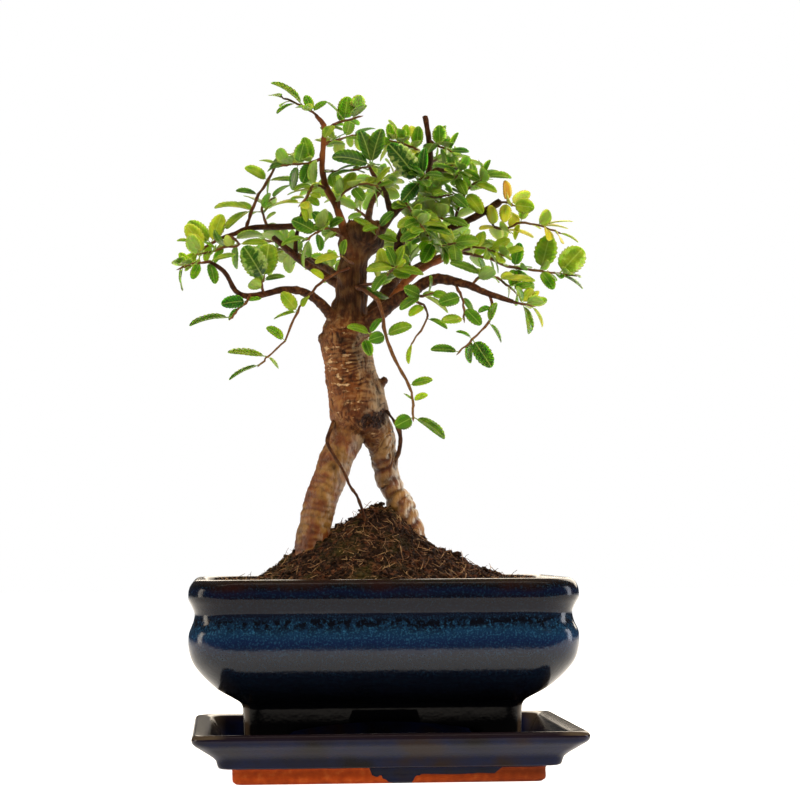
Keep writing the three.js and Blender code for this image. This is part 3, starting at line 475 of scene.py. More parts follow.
def cobaltGlaze():
    # Rutile blue glaze over iron-rich clay: navy body, teal speckle and black runs below the neck,
    # brown where it thins on the lip, and a painted highlight on the corners of the foot. Fired to a wet
    # gloss.
    material, tree, shader, coords = startMaterial("cobaltRutileGlaze")
    parts = addNode(tree, "ShaderNodeSeparateXYZ", [coords["Object"]]).outputs
    clouds = {}
    for name, (across, detail, rough, tall) in cobalt["clouds"].items():
        place = addNode(tree, "ShaderNodeMapping", {"Vector": coords["Object"], "Scale": (1, 1, tall)})
        clouds[name] = addNode(tree, "ShaderNodeTexNoise", {
            "Vector": place, "Scale": 1 / (across * mm), "Detail": detail, "Roughness": rough})
    shift = addNode(tree, "ShaderNodeMath", [clouds["sag"], 0.5], operation="SUBTRACT")
    height = addNode(tree, "ShaderNodeMath", [shift, cobalt["sag"] * mm, parts["Z"]],
                     operation="MULTIPLY_ADD")
    level = addNode(tree, "ShaderNodeMapRange", {"Value": height, "From Max": cobalt["height"] * mm})
    bands = {name: addNode(tree, "ShaderNodeValToRGB", [level], stops=stops)
             for name, stops in cobalt["bands"].items()}
    shade = bands["body"]
    for name, stops, colour in cobalt["marks"]:
        mark = addNode(tree, "ShaderNodeValToRGB", [clouds[name]], stops=stops)
        amount = addNode(tree, "ShaderNodeMath", [mark, bands[name]], operation="MULTIPLY")
        shade = addNode(tree, "ShaderNodeMix", {0: amount, 6: shade, 7: hexColour(colour)},
                        data_type="RGBA")
    # a painted highlight: light brown on the corners of the foot
    paintedCornerHighlight = bands["foot"]
    for axis, middle in (("X", pot["centreX"]), ("Y", 0)):
        start, end = cobalt["paintedCornerHighlightFrom"][axis]
        off = addNode(tree, "ShaderNodeMath", [parts[axis], -middle * mm], operation="ADD")
        out = addNode(tree, "ShaderNodeMath", [off], operation="ABSOLUTE")
        near = addNode(tree, "ShaderNodeMapRange", {
            "Value": out, "From Min": start * mm, "From Max": end * mm})
        paintedCornerHighlight = addNode(tree, "ShaderNodeMath", [paintedCornerHighlight, near], operation="MULTIPLY")
    shade = addNode(tree, "ShaderNodeMix", {0: paintedCornerHighlight, 6: shade, 7: hexColour(cobalt["paintedCornerHighlight"])},
                    data_type="RGBA")
    bump = addNode(tree, "ShaderNodeBump", {
        "Height": clouds["pits"], "Strength": 0.35, "Distance": 0.25 * mm})
    feed(tree, shader, {"Base Color": shade, "Normal": bump, "Roughness": 0.14, "IOR": 1.52,
                        "Specular IOR Level": bands["shine"]})
    return material


tenmoku = {
    "clouds": {  # across in mm, detail
        "glaze": (26.32, 4), "clay": (3.846, 5), "runs": (14.29, 2), "grit": (1.429, 4)},
    "ramps": {
        "glaze": [(0.35, "#0b080b"), (0.53, "#0a112c"), (0.68, "#1d110e")],
        "clay": [(0.3, "#88330e"), (0.55, "#9e3f12"), (0.75, "#ae5222")],
        "runs": [(0.47, 0.0), (0.51, 1.0)]},
    "height": 28, "lip": [(0.0, 0.0), (0.80, 0.0), (0.90, 0.9), (1.0, 1.0)], "lipColour": "#171013",
    # endWall and thin: where, in mm from the middle, and in what colour a painted reflection lies on the
    # inside walls at both ends
    "endWall": (84, 91), "thin": "#43392c", "inside": 0.4,  # how far up a face looks, to be inside
    "spans": ((-11, 18), (-3, 58)),  # in front, from left to right: short drips, and a long low run
    "edge": (9.2, 9.7), "edgeWave": 3, "runLength": 7.5, "longRun": 0.45,
    # painted shade on the bare clay, darker towards the right, and how far right it grows, in mm
    "paintedRightShade": "#48200e", "paintedRightShadeTo": 80,
}


def tenmokuGlaze():
    # Blue-black glaze with iron brown on the lip, over a bare terracotta foot that it has run onto.
    material, tree, shader, coords = startMaterial("tenmokuGlazeOnTerracotta")
    parts = addNode(tree, "ShaderNodeSeparateXYZ", [coords["Object"]]).outputs
    upward = addNode(tree, "ShaderNodeSeparateXYZ", [coords["Normal"]]).outputs["Z"]
    clouds = {name: addNode(tree, "ShaderNodeTexNoise", {
        "Vector": coords["Object"], "Scale": 1 / (across * mm), "Detail": detail})
        for name, (across, detail) in tenmoku["clouds"].items()}
    ramps = {name: addNode(tree, "ShaderNodeValToRGB", [clouds[name]], stops=stops)
             for name, stops in tenmoku["ramps"].items()}
    level = addNode(tree, "ShaderNodeMapRange", {"Value": parts["Z"], "From Max": tenmoku["height"] * mm})
    lip = addNode(tree, "ShaderNodeValToRGB", [level], stops=tenmoku["lip"])
    glaze = addNode(tree, "ShaderNodeMix", {0: lip, 6: ramps["glaze"], 7: hexColour(tenmoku["lipColour"])},
                    data_type="RGBA")
    # a painted reflection: grey-brown on the inside walls at both ends
    start, end = tenmoku["endWall"]
    ends = addNode(tree, "ShaderNodeMath", [parts["X"]], operation="ABSOLUTE")
    endWall = addNode(tree, "ShaderNodeMapRange", {
        "Value": ends, "From Min": start * mm, "From Max": end * mm, "To Max": 0.75})
    inside = addNode(tree, "ShaderNodeMath", [upward, tenmoku["inside"]], operation="GREATER_THAN")
    paintedEndReflection = addNode(tree, "ShaderNodeMath", [endWall, inside], operation="MULTIPLY")
    glaze = addNode(tree, "ShaderNodeMix", {0: paintedEndReflection, 6: glaze, 7: hexColour(tenmoku["thin"])},
                    data_type="RGBA")
    # the glaze stops at the foot, but has run down in front
    spans = []
    for start, end in tenmoku["spans"]:
        rise, fall = (addNode(tree, "ShaderNodeMapRange", {
            "Value": parts["X"], "From Min": a * mm, "From Max": b * mm})
            for a, b in ((start, start + 3), (end, end - 4)))
        spans.append(addNode(tree, "ShaderNodeMath", [rise, fall], operation="MULTIPLY"))
    drips = addNode(tree, "ShaderNodeMath", [ramps["runs"], spans[0]], operation="MULTIPLY")
    runs = addNode(tree, "ShaderNodeMath", [spans[1], tenmoku["longRun"], drips],
                   operation="MULTIPLY_ADD")
    lowered = parts["Z"]
    for amount, reach in ((clouds["glaze"], tenmoku["edgeWave"]), (runs, tenmoku["runLength"])):
        lowered = addNode(tree, "ShaderNodeMath", [amount, reach * mm, lowered],
                          operation="MULTIPLY_ADD")
    start, end = tenmoku["edge"]
    outside = addNode(tree, "ShaderNodeMapRange", {
        "Value": lowered, "From Min": start * mm, "From Max": end * mm})
    glazed = addNode(tree, "ShaderNodeMath", [outside, inside], operation="MAXIMUM")
    paintedRightShade = addNode(tree, "ShaderNodeMapRange", {  # painted shade: the bare clay darker on the right
        "Value": parts["X"], "From Max": tenmoku["paintedRightShadeTo"] * mm, "To Max": 0.6})
    shadedClay = addNode(tree, "ShaderNodeMix", {0: paintedRightShade, 6: ramps["clay"], 7: hexColour(tenmoku["paintedRightShade"])},
                    data_type="RGBA")
    shade = addNode(tree, "ShaderNodeMix", {0: glazed, 6: shadedClay, 7: glaze}, data_type="RGBA")
    gloss = addNode(tree, "ShaderNodeMapRange", {"Value": glazed, "To Min": 0.85, "To Max": 0.15})
    bump = addNode(tree, "ShaderNodeBump", {
        "Height": clouds["grit"], "Strength": 0.3, "Distance": 0.2 * mm})
    feed(tree, shader, {"Base Color": shade, "Roughness": gloss, "Normal": bump, "IOR": 1.52,
                        "Specular IOR Level": 0.13})
    return material


makeSaucer(tenmokuGlaze())
print("saucer ready")
makePot(cobaltGlaze())
print("pot ready")


# wood and shoots: the routes they grow along, in mm

limbs = [
  # trunk, from the fork of the legs to the sawn top
  dict(bark="trunk", route=[[-12, 1, 182.5, 8.4], [-12, 0.5, 186, 13.4],
    [-12, 0, 191.5, 16], [-13, 0, 201, 15.8], [-16, 0, 212, 14], [-18, 0, 223, 13.2],
    [-19.5, 0, 232, 13.4],
    [-18.5, 0, 240, 12.2], [-17, 0, 250, 9.6], [-15.5, 0, 261, 8.6], [-14.7, 0, 273, 7.8],
    [-12.8, 0, 283, 8.6], [-10.7, 0, 289, 11.4], [-10.2, 0, 293.5, 11.6]]),
  # left and right leg, down into the soil
  dict(bark="leg", rings=0.7, every=3.7, route=[[-42, -8, 96, 8], [-38, -8, 125, 8.9], [-36, -8, 135, 8.6],
    [-33, -7, 147, 9.3], [-29, -6, 157, 8.9], [-25, -4, 168, 8.9], [-20, -2, 179, 9.6],
    [-15, 0, 192, 11]]),
  dict(bark="leg", rings=2.4, every=6.4, route=[[21, 9, 95, 8.4], [17, 8, 127, 7.6], [13, 7, 138, 7.7],
    [10.5, 6.5, 145, 7.1], [7, 6, 152, 6.1], [4, 5, 158, 6.9], [2.4, 4, 164, 6.9],
    [1.4, 3, 171, 7.6], [0.6, 2, 174, 7.1], [-0.5, 1, 180, 8.6], [-9, 0, 192, 11]]),
  # thin roots that came down beside the legs
  dict(route=[[-26, -6, 189, 1.4], [-30, -14, 178, 0.9], [-27, -16, 171, 0.8],
    [-22, -17, 163, 0.8], [-18, -17, 154, 0.8], [-14, -15, 148, 0.8], [-10, -12, 136, 0.9],
    [-9, -10, 122, 1]]),
  dict(route=[[2, -7, 195, 1.6], [8, -6, 187, 1.3], [10, -5, 181, 1.2],
    [9.5, -3, 174, 1.1], [7, 0, 166, 1.2]]),
  # knobs and stubs of old cuts
  dict(route=[[-24, 0, 233, 5], [-31, -2, 234.5, 4.2], [-33.5, -2.5, 235, 2.4]]),
  dict(route=[[-6, -2, 208, 4.5], [0, -3, 210, 2.6], [2.5, -3.5, 212.5, 1.8]]),
  dict(route=[[-20, 8, 224, 4], [-25, 15, 228, 3], [-27, 18, 230, 2.2]]),
  # low branch to the left
  dict(route=[[-19, 0, 236, 4.4], [-26, -4, 245, 3.2], [-34, -8, 254, 2.6],
    [-44, -13, 259, 2.2], [-55, -18, 259, 1.9], [-65, -22, 256, 1.7], [-77, -25, 256, 1.4],
    [-85, -27, 268, 1.2], [-93, -28, 273, 1]]),
  # two branches above it, one ending in a cut
  dict(route=[[-15, 2, 258, 3.6], [-22, 5, 264, 2.8], [-32, 9, 271, 2.4],
    [-42, 13, 278, 2.2], [-50, 16, 285, 1.8], [-58, 18, 292, 1.5]]),
  dict(route=[[-46, 14.6, 281.5, 1.4], [-45, 17, 294, 1.1], [-41, 18, 309, 0.9],
    [-38, 18, 318, 0.8]]),
  dict(route=[[-12, 2, 290, 3], [-22, 5, 293, 2.2], [-39, 9, 297, 1.9],
    [-54, 11, 297, 1.8], [-71, 10, 296, 1.5], [-81, 8, 292, 1.2], [-87, 7, 290, 1]]),
  # leader
  dict(warm=0.7, route=[[-15, -5, 278, 2.6], [-20, -7, 292, 2.2], [-24, -7, 305, 1.9],
    [-30, -8, 317, 1.8], [-32, -8, 328, 1.6], [-31, -8, 342, 1.4], [-31, -8, 350, 1.3],
    [-35, -9, 355, 1.1]]),
  # heavy branch low on the right
  dict(route=[[-13, -2, 238, 5.4], [-5, -8, 244, 4.2], [6, -13, 253, 3.4],
    [15, -17, 258, 3.2], [23, -21, 263, 3], [30, -25, 264.5, 2.8], [38, -29, 262.5, 2.4],
    [46, -32, 260, 2], [54, -34, 256, 1.7], [68, -37, 251, 1.2]]),
  # reddish branch, and the dark one behind it that carries the right half of the crown
  dict(warm=0.8, route=[[-12, 2, 241, 3.6], [-3, 3, 248, 3], [6, 4, 256, 2.5], [15, 6, 267, 2.2],
    [22, 9, 273, 2], [31, 13, 278, 1.8], [40, 15, 282, 1.6], [45, 16, 285, 1.4]]),
  dict(route=[[-14, 4, 240, 5], [0, 14, 254, 4.4], [8, 21, 268, 3.9], [11, 25, 279, 3.5],
    [13, 26, 292, 3], [19, 25, 306, 2.4], [26, 22, 319, 2], [29, 18, 333, 1.7],
    [28, 14, 348, 1.5], [26, 12, 359, 1.4]]),
  dict(route=[[-8, 0, 287, 3], [1, -3, 295, 2.3], [6, -6, 301, 2], [13, -9, 308, 1.7],
    [19, -11, 316, 1.3]]),
  dict(route=[[6, -6, 301, 1.9], [4, -2, 310, 1.5], [2, 2, 317, 1.3],
    [-2, 5, 323, 1.1], [-6, 7, 331, 0.9]]),
  dict(route=[[26, 22, 319, 1.8], [31, 12, 328, 1.7], [38, 6, 329, 1.9],
    [43, 3, 330, 2], [48, 0, 331.5, 1.9]]),
  dict(route=[[13.5, 26, 293, 2.4], [26, 20, 294, 2], [40, 13, 297, 1.9],
    [50, 7, 301, 1.9], [58, 3, 305, 2], [66, 0, 310, 2]]),
  # branches to the back
  dict(route=[[-15, 2, 263, 3], [-22, 16, 270, 2.4], [-33, 31, 279, 1.9],
    [-45, 43, 286, 1.4]]),
  dict(route=[[8, 21, 268, 2.4], [20, 34, 276, 2], [34, 46, 284, 1.6],
    [48, 53, 288, 1.2]]),
  dict(route=[[-9, 2, 288, 3], [-6, 17, 300, 2.2], [-3, 31, 312, 1.7],
    [2, 42, 322, 1.2]]),
]


shoots = [
  dict(spray="left_tip", tone=0.35, grown=2,
    route=[[-87, 7, 290], [-92, 6, 287], [-96, 4, 284], [-100, 3, 282]],
    leaves=[[2, -15, -4, 4, 0.25], [2, -10, -3, 13, 0.55], [3, -7, 2, -9, 0.6],
      [1, -13, 4, 13, 0.5], [1, -3, -2, -11, 0.4], [1, 6, 3, 17, 0.5]]),
  dict(spray="left_low", tone=0.5, grown=3,
    route=[[-83, 8, 292], [-77, 2, 286], [-85, 0, 284], [-94, -3, 281], [-98, -4, 280]],
    leaves=[[2, -5, -4, -9, 0.4], [1, 16, -5, 0, 0.35]]),
  dict(spray="arm_tip", tone=0.45, grown=1,
    route=[[-93, -28, 273], [-98, -29, 272], [-103, -30, 271], [-108, -31, 269]],
    leaves=[[1, -4, -3, -9, 0.5], [2, -6, -4, 6, 0.5], [0, 3, -6, -13, 0.4],
      [0, 14, -8, 3, 0.3]]),
  dict(spray="arm_up", mottled=[0], tone=0.65, grown=1,
    route=[[-64, -22, 256], [-65, -24, 261], [-64, -26, 264]],
    leaves=[[2, -11, -8, 17, 0.62], [2, 3, 4, 20, 0.62], [2, 11, -3, 1, 0.3],
      [1, -6, 8, 10, 0.4]]),
  dict(spray="arm_hang", bare=True, tone=0.8, grown=0,
    route=[[-71, -24, 256], [-73, -28, 252], [-77, -30, 248], [-81, -32, 243]],
    leaves=[[1, -14, -4, -2, 0.5], [1, 8, 3, 2, 0.4], [2, -6, 5, -6, 0.3],
      [3, -23, -4, -5, 0.25]]),
  dict(spray="fall_left", bare=True, tone=0.45, grown=0,
    route=[[-16, -6, 273], [-31, -15, 265], [-40, -19, 256], [-46, -23, 247],
      [-53, -28, 231], [-62, -32, 222], [-66, -34, 218]],
    leaves=[[1, -8, -3, 5, 0.45], [2, -3, -8, -7, 0.35], [3, -9, -5, 10, 0.55],
      [3, -13, 4, -4, 0.25], [4, -10, -3, 7, 0.45], [5, -22, -4, 2, 0.28],
      [5, 6, 5, -6, 0.3], [6, -17, -2, -9, 0.2]]),
  dict(spray="arch_left", bare=True, tone=0.5, grown=1,
    route=[[-73, 9, 296], [-70, 11, 306], [-66, 13, 315], [-61, 14, 323], [-56, 15, 332],
      [-51, 15, 337], [-47, 14, 333]],
    leaves=[[1, -21, -4, 1, 0.28], [1, -14, -10, -12, 0.3], [2, -13, -5, 1, 0.35],
      [3, -13, -3, 7, 0.45], [3, 17, -6, -1, 0.3], [4, -10, 5, 3, 0.3], [1, -7, 8, 6, 0.4]]),
  dict(spray="arch_twig", tone=0.5, grown=3,
    route=[[-61, 10.5, 296], [-64, 16, 306], [-63, 19, 311], [-58, 21, 314]], leaves=[]),
  dict(spray="crown_tip", tone=0.65, grown=0,
    route=[[-33, -9, 352.5], [-37, -9, 357], [-42, -9, 360], [-49, -9, 363], [-54, -9, 365]],
    leaves=[[2, -18, -3, 13, 0.28], [1, -4, 3, 10, 0.5], [1, 8, 4, 7, 0.4]]),
  dict(spray="crown_right", tone=0.6, grown=1,
    route=[[-31, -8, 346], [-26, -10, 350], [-20, -11, 352], [-12, -12, 354]],
    leaves=[[2, 2, -4, 13, 0.7], [2, -10, -7, 9, 0.2], [1, -5, -9, -9, 0.45]]),
  dict(spray="crown_left", tone=0.6, grown=1,
    route=[[-32, -8, 332], [-38, -11, 329], [-45, -12, 328], [-53, -13, 327]],
    leaves=[[1, -4, -2, 14, 0.5], [2, 3, -6, 11, 0.65], [1, -5, -4, -12, 0.6],
      [3, -9, 2, -3, 0.3], [2, -3, 5, -14, 0.35]]),
  dict(spray="crown_back", tone=0.5, grown=4,
    route=[[-31, -8, 339], [-25, 0, 343], [-18, 8, 346], [-11, 14, 349]],
    leaves=[[1, -7, 5, 9, 0.45], [2, 3, 6, 12, 0.5]]),
  dict(spray="deck", tone=0.85, grown=3,
    route=[[-31, -8, 325], [-24, -14, 324], [-15, -18, 324], [-6, -22, 326]],
    leaves=[[3, -22, -4, 4, 0.45], [3, -6, 4, 20, 0.45], [3, 6, 3, 21, 0.45],
      [2, -13, -6, -5, 0.28]]),
  dict(spray="crown_low", tone=0.45, grown=3,
    route=[[-29, -8, 315], [-37, -14, 316], [-40, -17, 310], [-44, -20, 305]],
    leaves=[[1, -11, -3, -3, 0.35], [2, 6, -4, -6, 0.5], [3, 3, -2, -10, 0.4]]),
  dict(spray="bare_fork", tone=0.55, grown=3,
    route=[[-23, -7, 302], [-22, -12, 311], [-16, -15, 315], [-9, -18, 317], [-3, -19, 315]],
    leaves=[[2, 6, -5, -8, 0.6], [4, 9, -4, 2, 0.35]]),
  dict(spray="inner_left", tone=0.75, grown=2,
    route=[[-19, -6, 289], [-29, -14, 293], [-35, -19, 290], [-40, -23, 286]],
    leaves=[[1, -9, -6, 8, 0.5], [1, 8, -8, 4, 0.45], [2, 1, -5, -11, 0.4],
      [2, -12, 5, 3, 0.45], [3, -15, -4, -4, 0.3], [1, -1, 6, 11, 0.45]]),
  dict(spray="pale_left", bare=True, tone=0.4, grown=0,
    route=[[-14, -6, 274], [-19, -14, 276], [-22, -19, 277]],
    leaves=[[2, -15, -4, -4, 0.36], [2, 2, -4, 9, 0.45]]),
  dict(spray="stump_right", bare=True, tone=0.7, grown=0,
    route=[[-7, -6, 284], [-3, -14, 289], [-2, -18, 293]],
    leaves=[[1, -13, -4, 9, 0.34], [2, 8, -5, 8, 0.45], [1, 11, -5, -4, 0.4],
      [2, -9, -8, -3, 0.4]]),
  dict(spray="stump_front", tone=0.55, grown=2,
    route=[[-13, -6, 263], [-4, -18, 263], [2, -24, 267], [6, -28, 270]],
    leaves=[[3, -16, -4, -2, 0.42], [2, -8, -5, -10, 0.4], [3, -5, -4, 11, 0.45],
      [3, 5, -3, 12, 0.4]]),
  dict(spray="trunk_leaf", bare=True, tone=0.6, grown=0,
    route=[[-15, -10, 229], [-10, -17, 233], [-7, -21, 235]],
    leaves=[[2, -13, -3, 4, 0.4], [2, 6, 1, 9, 0.4], [1, 3, -6, -10, 0.5]]),
  dict(spray="fall_front", bare=True, tone=0.55, grown=0,
    route=[[-14, -7, 262], [-8, -17, 258], [-2, -22, 252], [1, -25, 234], [6, -27, 221],
      [13, -28, 207], [15, -29, 199], [15, -30, 190]],
    leaves=[[3, 14, -5, 5, 0.45], [3, -9.5, -4, -3, 0.7], [5, 13, -3, 3, 0.4],
      [6, 8, -3, 3, 0.45], [6, -5, 3, 4, 0.3], [7, -10, -4, -5, 0.75], [7, 17, -3, -12, 0.33]]),
  dict(spray="fall_thin", bare=True, tone=0.3, grown=0,
    route=[[12, -16, 257], [17, -21, 253], [22, -24, 250], [23, -26, 243], [15, -28, 230]],
    leaves=[[2, -9, -5, -6, 0.45], [3, 11, -3, -6, 0.32], [4, -2, -2, -12, 0.2]]),
  dict(spray="low_leaves", tone=0.45, grown=1,
    route=[[16, -17, 258], [20, -26, 255], [25, -30, 256]],
    leaves=[[2, 9, -4, -2, 0.5], [1, -10, -6, 4, 0.6], [1, -12, -4, -8, 0.4]]),
  dict(spray="under_a", bare=True, tone=0.6, grown=0,
    route=[[38, -28, 262], [41, -33, 254], [42, -35, 248], [42, -36, 242]],
    leaves=[[1, -13, -4, -4, 0.55], [3, -13, -5, -2, 0.45], [2, 9, -4, -10, 0.5],
      [1, 7, 4, -8, 0.4]]),
  dict(spray="under_b", bare=True, tone=0.75, grown=0,
    route=[[56, -34, 255], [57, -36, 248], [55, -37, 240], [46, -38, 231], [39, -39, 224]],
    leaves=[[1, -8, -4, -3, 0.4], [2, 4, -7, 10, 0.35], [2, 7, 3, -11, 0.28],
      [4, -16, -3, 1, 0.36], [3, 10, -5, -16, 0.5], [3, -1, 4, -13, 0.3],
      [3, -9, -2, 4, 0.3]]),
  dict(spray="reach_tip", tone=0.35, grown=1,
    route=[[66, -36.5, 251.5], [73, -37, 250], [78, -36, 249]],
    leaves=[[1, 3, -4, -17, 0.3], [2, 6, 0, -12, 0.25], [1, 6, 4, 9, 0.5], [2, 9, 3, 4, 0.5],
      [1, -4, -5, 9, 0.4]]),
  dict(spray="reach_top", tone=0.45, grown=1,
    route=[[46, -32, 260], [53, -30, 266], [61, -29, 264], [67, -28, 260], [72, -27, 256]],
    leaves=[[1, -3, -5, 9, 0.35], [2, 20, -6, -2, 0.3], [1, -19, -4, 6, 0.35],
      [3, 10, 6, 7, 0.4]]),
  dict(spray="light_end", mottled=[0], tone=0.6, grown=1,
    route=[[44, 16, 284.5], [53, 14, 282], [61, 11, 280], [74, 5, 274], [88, 1, 272],
      [98, -2, 270], [107, -4, 269]],
    leaves=[[5, 13, -3, 14, 0.75], [4, 5, -4, 20, 0.62], [3, 3, -3, 14, 0.5],
      [4, 7, -4, -11, 0.5], [5, 13, -2, -9, 0.25], [3, 10, -6, -13, 0.35],
      [3, -2, -4, -11, 0.5], [2, 5, -5, 9, 0.5]]),
  dict(spray="light_low", tone=0.4, grown=3,
    route=[[42, 15, 283], [52, 4, 285], [60, -1, 283], [66, -4, 280]],
    leaves=[[1, 4, -5, 8, 0.5], [2, 11, -6, 5, 0.45], [3, 12, -4, 3, 0.4]]),
  dict(spray="yellow", tone=0, grown=0,
    route=[[58, 3, 305], [63, 4, 297], [69, 2, 295], [77, -2, 298], [87, -5, 296],
      [97, -7, 292]],
    leaves=[[1, -3, -6, 11, 0.5], [3, -7, -4, 5, 0.4], [4, 19, -3, 2, 0.15],
      [4, 17, 6, -1, 0.2], [5, 11, -2, -6, 0.25], [3, -3, 5, -9, 0.3], [2, 15, -7, -6, 0.25],
      [1, -9, -8, -3, 0.35]]),
  dict(spray="cut_end", turning=[0], tone=0.1, grown=0,
    route=[[64, 1, 309], [69, -4, 309], [72, -7, 307]],
    leaves=[[1, -1, -3, 12, 0.45], [1, -2, -5, -12, 0.55], [2, 12, -3, -2, 0.75]]),
  dict(spray="hook", tone=0.6, grown=1,
    route=[[40, 13, 297], [44, 6, 307], [47, 0, 315], [51, -3, 319], [56, -5, 322]],
    leaves=[[4, 16, -3, 0, 0.36], [3, -1, 2, 13, 0.4], [4, 4, -3, 10, 0.3],
      [3, 13, -3, -5, 0.4], [2, 9, -5, -13, 0.5]]),
  dict(spray="top_cut", tone=0.65, grown=1,
    route=[[47, 0.5, 331], [44, -6, 326], [41, -9, 322]],
    leaves=[[1, 10, -4, -6, 0.5], [2, -14, -6, -3, 0.4], [2, 5, -4, -11, 0.5]]),
  dict(spray="top_right", mottled=[1], tone=0.75, grown=1,
    route=[[28, 14, 346], [34, 10, 342], [39, 7, 339]],
    leaves=[[1, 3, 5, 13, 0.35], [1, -1, -6, 11, 0.7], [2, 5, -3, 10, 0.3],
      [2, 11, -2, -1, 0.4]]),
  dict(spray="top_left", tone=0.4, grown=2,
    route=[[29, 17, 335], [21, 13, 341], [14, 9, 343], [7, 6, 344]],
    leaves=[[3, -2, -5, 9, 0.5], [2, 1, -6, 10, 0.5], [1, 1, -6, 12, 0.5],
      [3, -10, -3, -1, 0.5]]),
  dict(spray="dark_big", mottled=[0], tone=0.95, grown=1,
    route=[[18, -11, 314], [20, -16, 318], [22, -20, 321]],
    leaves=[[1, -17, -7, 20, 0.5], [2, 11, -4, -1, 0.4], [2, 1, -3, 15, 0.35],
      [1, -10, -6, -12, 0.5]]),
  dict(spray="heart_a", tone=0.7, grown=5,
    route=[[16, 25, 299], [22, 12, 302], [27, -1, 302], [33, -10, 299]],
    leaves=[[2, -10, -9, -7, 0.45], [3, 14, -6, -5, 0.4]]),
  dict(spray="heart_b", tone=0.55, grown=5,
    route=[[22, 24, 312], [28, 9, 313], [33, -3, 312], [38, -11, 312]],
    leaves=[[3, 8, -7, -8, 0.5]]),
  dict(spray="heart_c", tone=0.6, grown=4,
    route=[[24, 21, 294], [30, 6, 288], [33, -6, 285], [39, -14, 285]],
    leaves=[[3, -9, -6, 8, 0.5]]),
  dict(spray="heart_d", tone=0.5, grown=4,
    route=[[12, -9, 307], [15, -18, 303], [18, -26, 297], [21, -32, 290]],
    leaves=[[2, -11, -5, -6, 0.45], [3, -13, -3, -7, 0.4]]),
  dict(spray="back_left_a", tone=0.5, grown=6,
    route=[[-32, 30, 278.5], [-42, 33, 286], [-52, 36, 291], [-62, 38, 293]], leaves=[]),
  dict(spray="back_left_b", tone=0.6, grown=6,
    route=[[-43, 41, 285], [-50, 50, 289], [-55, 58, 290], [-58, 66, 288]], leaves=[]),
  dict(spray="back_left_c", tone=0.4, grown=6,
    route=[[-24, 19, 272], [-24, 33, 275], [-25, 46, 280], [-24, 58, 283]], leaves=[]),
  dict(spray="back_mid_a", tone=0.45, grown=6,
    route=[[-5, 20, 303], [-15, 30, 312], [-24, 38, 319], [-32, 44, 324]], leaves=[]),
  dict(spray="back_mid_b", tone=0.5, grown=6,
    route=[[1, 41, 321], [2, 50, 327], [3, 58, 329], [2, 66, 328]], leaves=[]),
  dict(spray="back_mid_c", tone=0.4, grown=6,
    route=[[0, 36, 317], [9, 38, 328], [14, 40, 337], [17, 41, 344]], leaves=[]),
  dict(spray="back_right_a", tone=0.55, grown=6,
    route=[[32, 44, 283], [37, 54, 291], [40, 62, 296], [42, 69, 299]], leaves=[]),
  dict(spray="back_right_b", tone=0.3, grown=6,
    route=[[46, 52, 287.5], [57, 54, 290], [67, 54, 291], [76, 52, 290]], leaves=[]),
  dict(spray="back_right_c", tone=0.6, grown=6,
    route=[[19, 33, 275.5], [18, 44, 284], [16, 53, 291], [14, 61, 296]], leaves=[]),
  dict(spray="back_right_d", tone=0.45, grown=6,
    route=[[29, 18, 334], [36, 26, 338], [42, 33, 338], [47, 40, 336]], leaves=[]),
]


# wood: one grown body, its limbs melted into each other, with the bark that each age of wood has

wood = {
    "voxel": 0.62, "thickFrom": 2.2, "melt": 5, "thickSides": 28, "thinSides": 9, "finer": 5, "blend": 1.3,
    "ringEvery": 4.3, "ringDepth": 0.5, "wrinkleEvery": 2.0, "wrinkleDepth": 0.34,
    "fibreDepth": 0.5, "crackDepth": 0.22, "lumps": 0.8, "barkChange": (238, 250), "topFrom": 285,
    "scars": [  # [x, y, z, reach, depth]: hollows over the right leg and at old wounds, also painted dark in the bark: crumbled bark and painted shade in the hollows
        [-9, -14.5, 186.5, 3.2, 1.5], [-7, -15, 190, 3.8, 1.6], [-2.5, -13, 188.5, 4.8, 2.5],
        [3, -10, 191.5, 4.6, 2.2],
        [-27, -9, 230, 2.6, 1.2], [-21, -12.5, 226, 2.2, 1.2], [-14, -13, 229, 1.8, 1.1],
        [-24, -12, 221, 1.7, 0.9], [-3, -12, 213, 2.5, 0.7]],
}


def sweptTube(route, sides, tip=0.35):  # closed, its ends drawn in a little
    ways = [unit(add(route[min(i + 1, len(route) - 1)][:3], route[max(i - 1, 0)][:3], -1))
            for i in range(len(route))]
    out = square([0, 1, 0] if abs(ways[0][1]) < 0.9 else [1, 0, 0], ways[0])
    points = []
    for p, way in zip(route, ways):
        out = square(out, way)
        aside = cross(way, out)
        for k in range(sides):
            turn = math.tau * k / sides
            points.append(add(add(list(p[:3]), out, p[3] * math.cos(turn)), aside, p[3] * math.sin(turn)))
    faces = ringFaces(len(route), sides)
    for end, way, sign in ((0, ways[0], -1), (len(route) - 1, ways[-1], 1)):
        middle = len(points)
        points.append(add(list(route[end][:3]), way, sign * tip * route[end][3]))
        for k in range(sides):
            a, b = end * sides + k, end * sides + (k + 1) % sides
            faces.append((middle, b, a) if sign < 0 else (middle, a, b))
    return points, faces


def field(points, scale, seed=0.0):  # smooth noise about -1 to 1, its lumps about the scale in mm
    sx, sy, sz = (scale, scale, scale) if isinstance(scale, (int, float)) else scale
    return np.array([noise.noise(Vector((x / sx + seed, y / sy - seed, z / sz + 2 * seed)))
                     for x, y, z in points]) * 1.6


def ease(values, low, high):
    t = np.clip((values - low) / (high - low), 0, 1)
    return t * t * (3 - 2 * t)


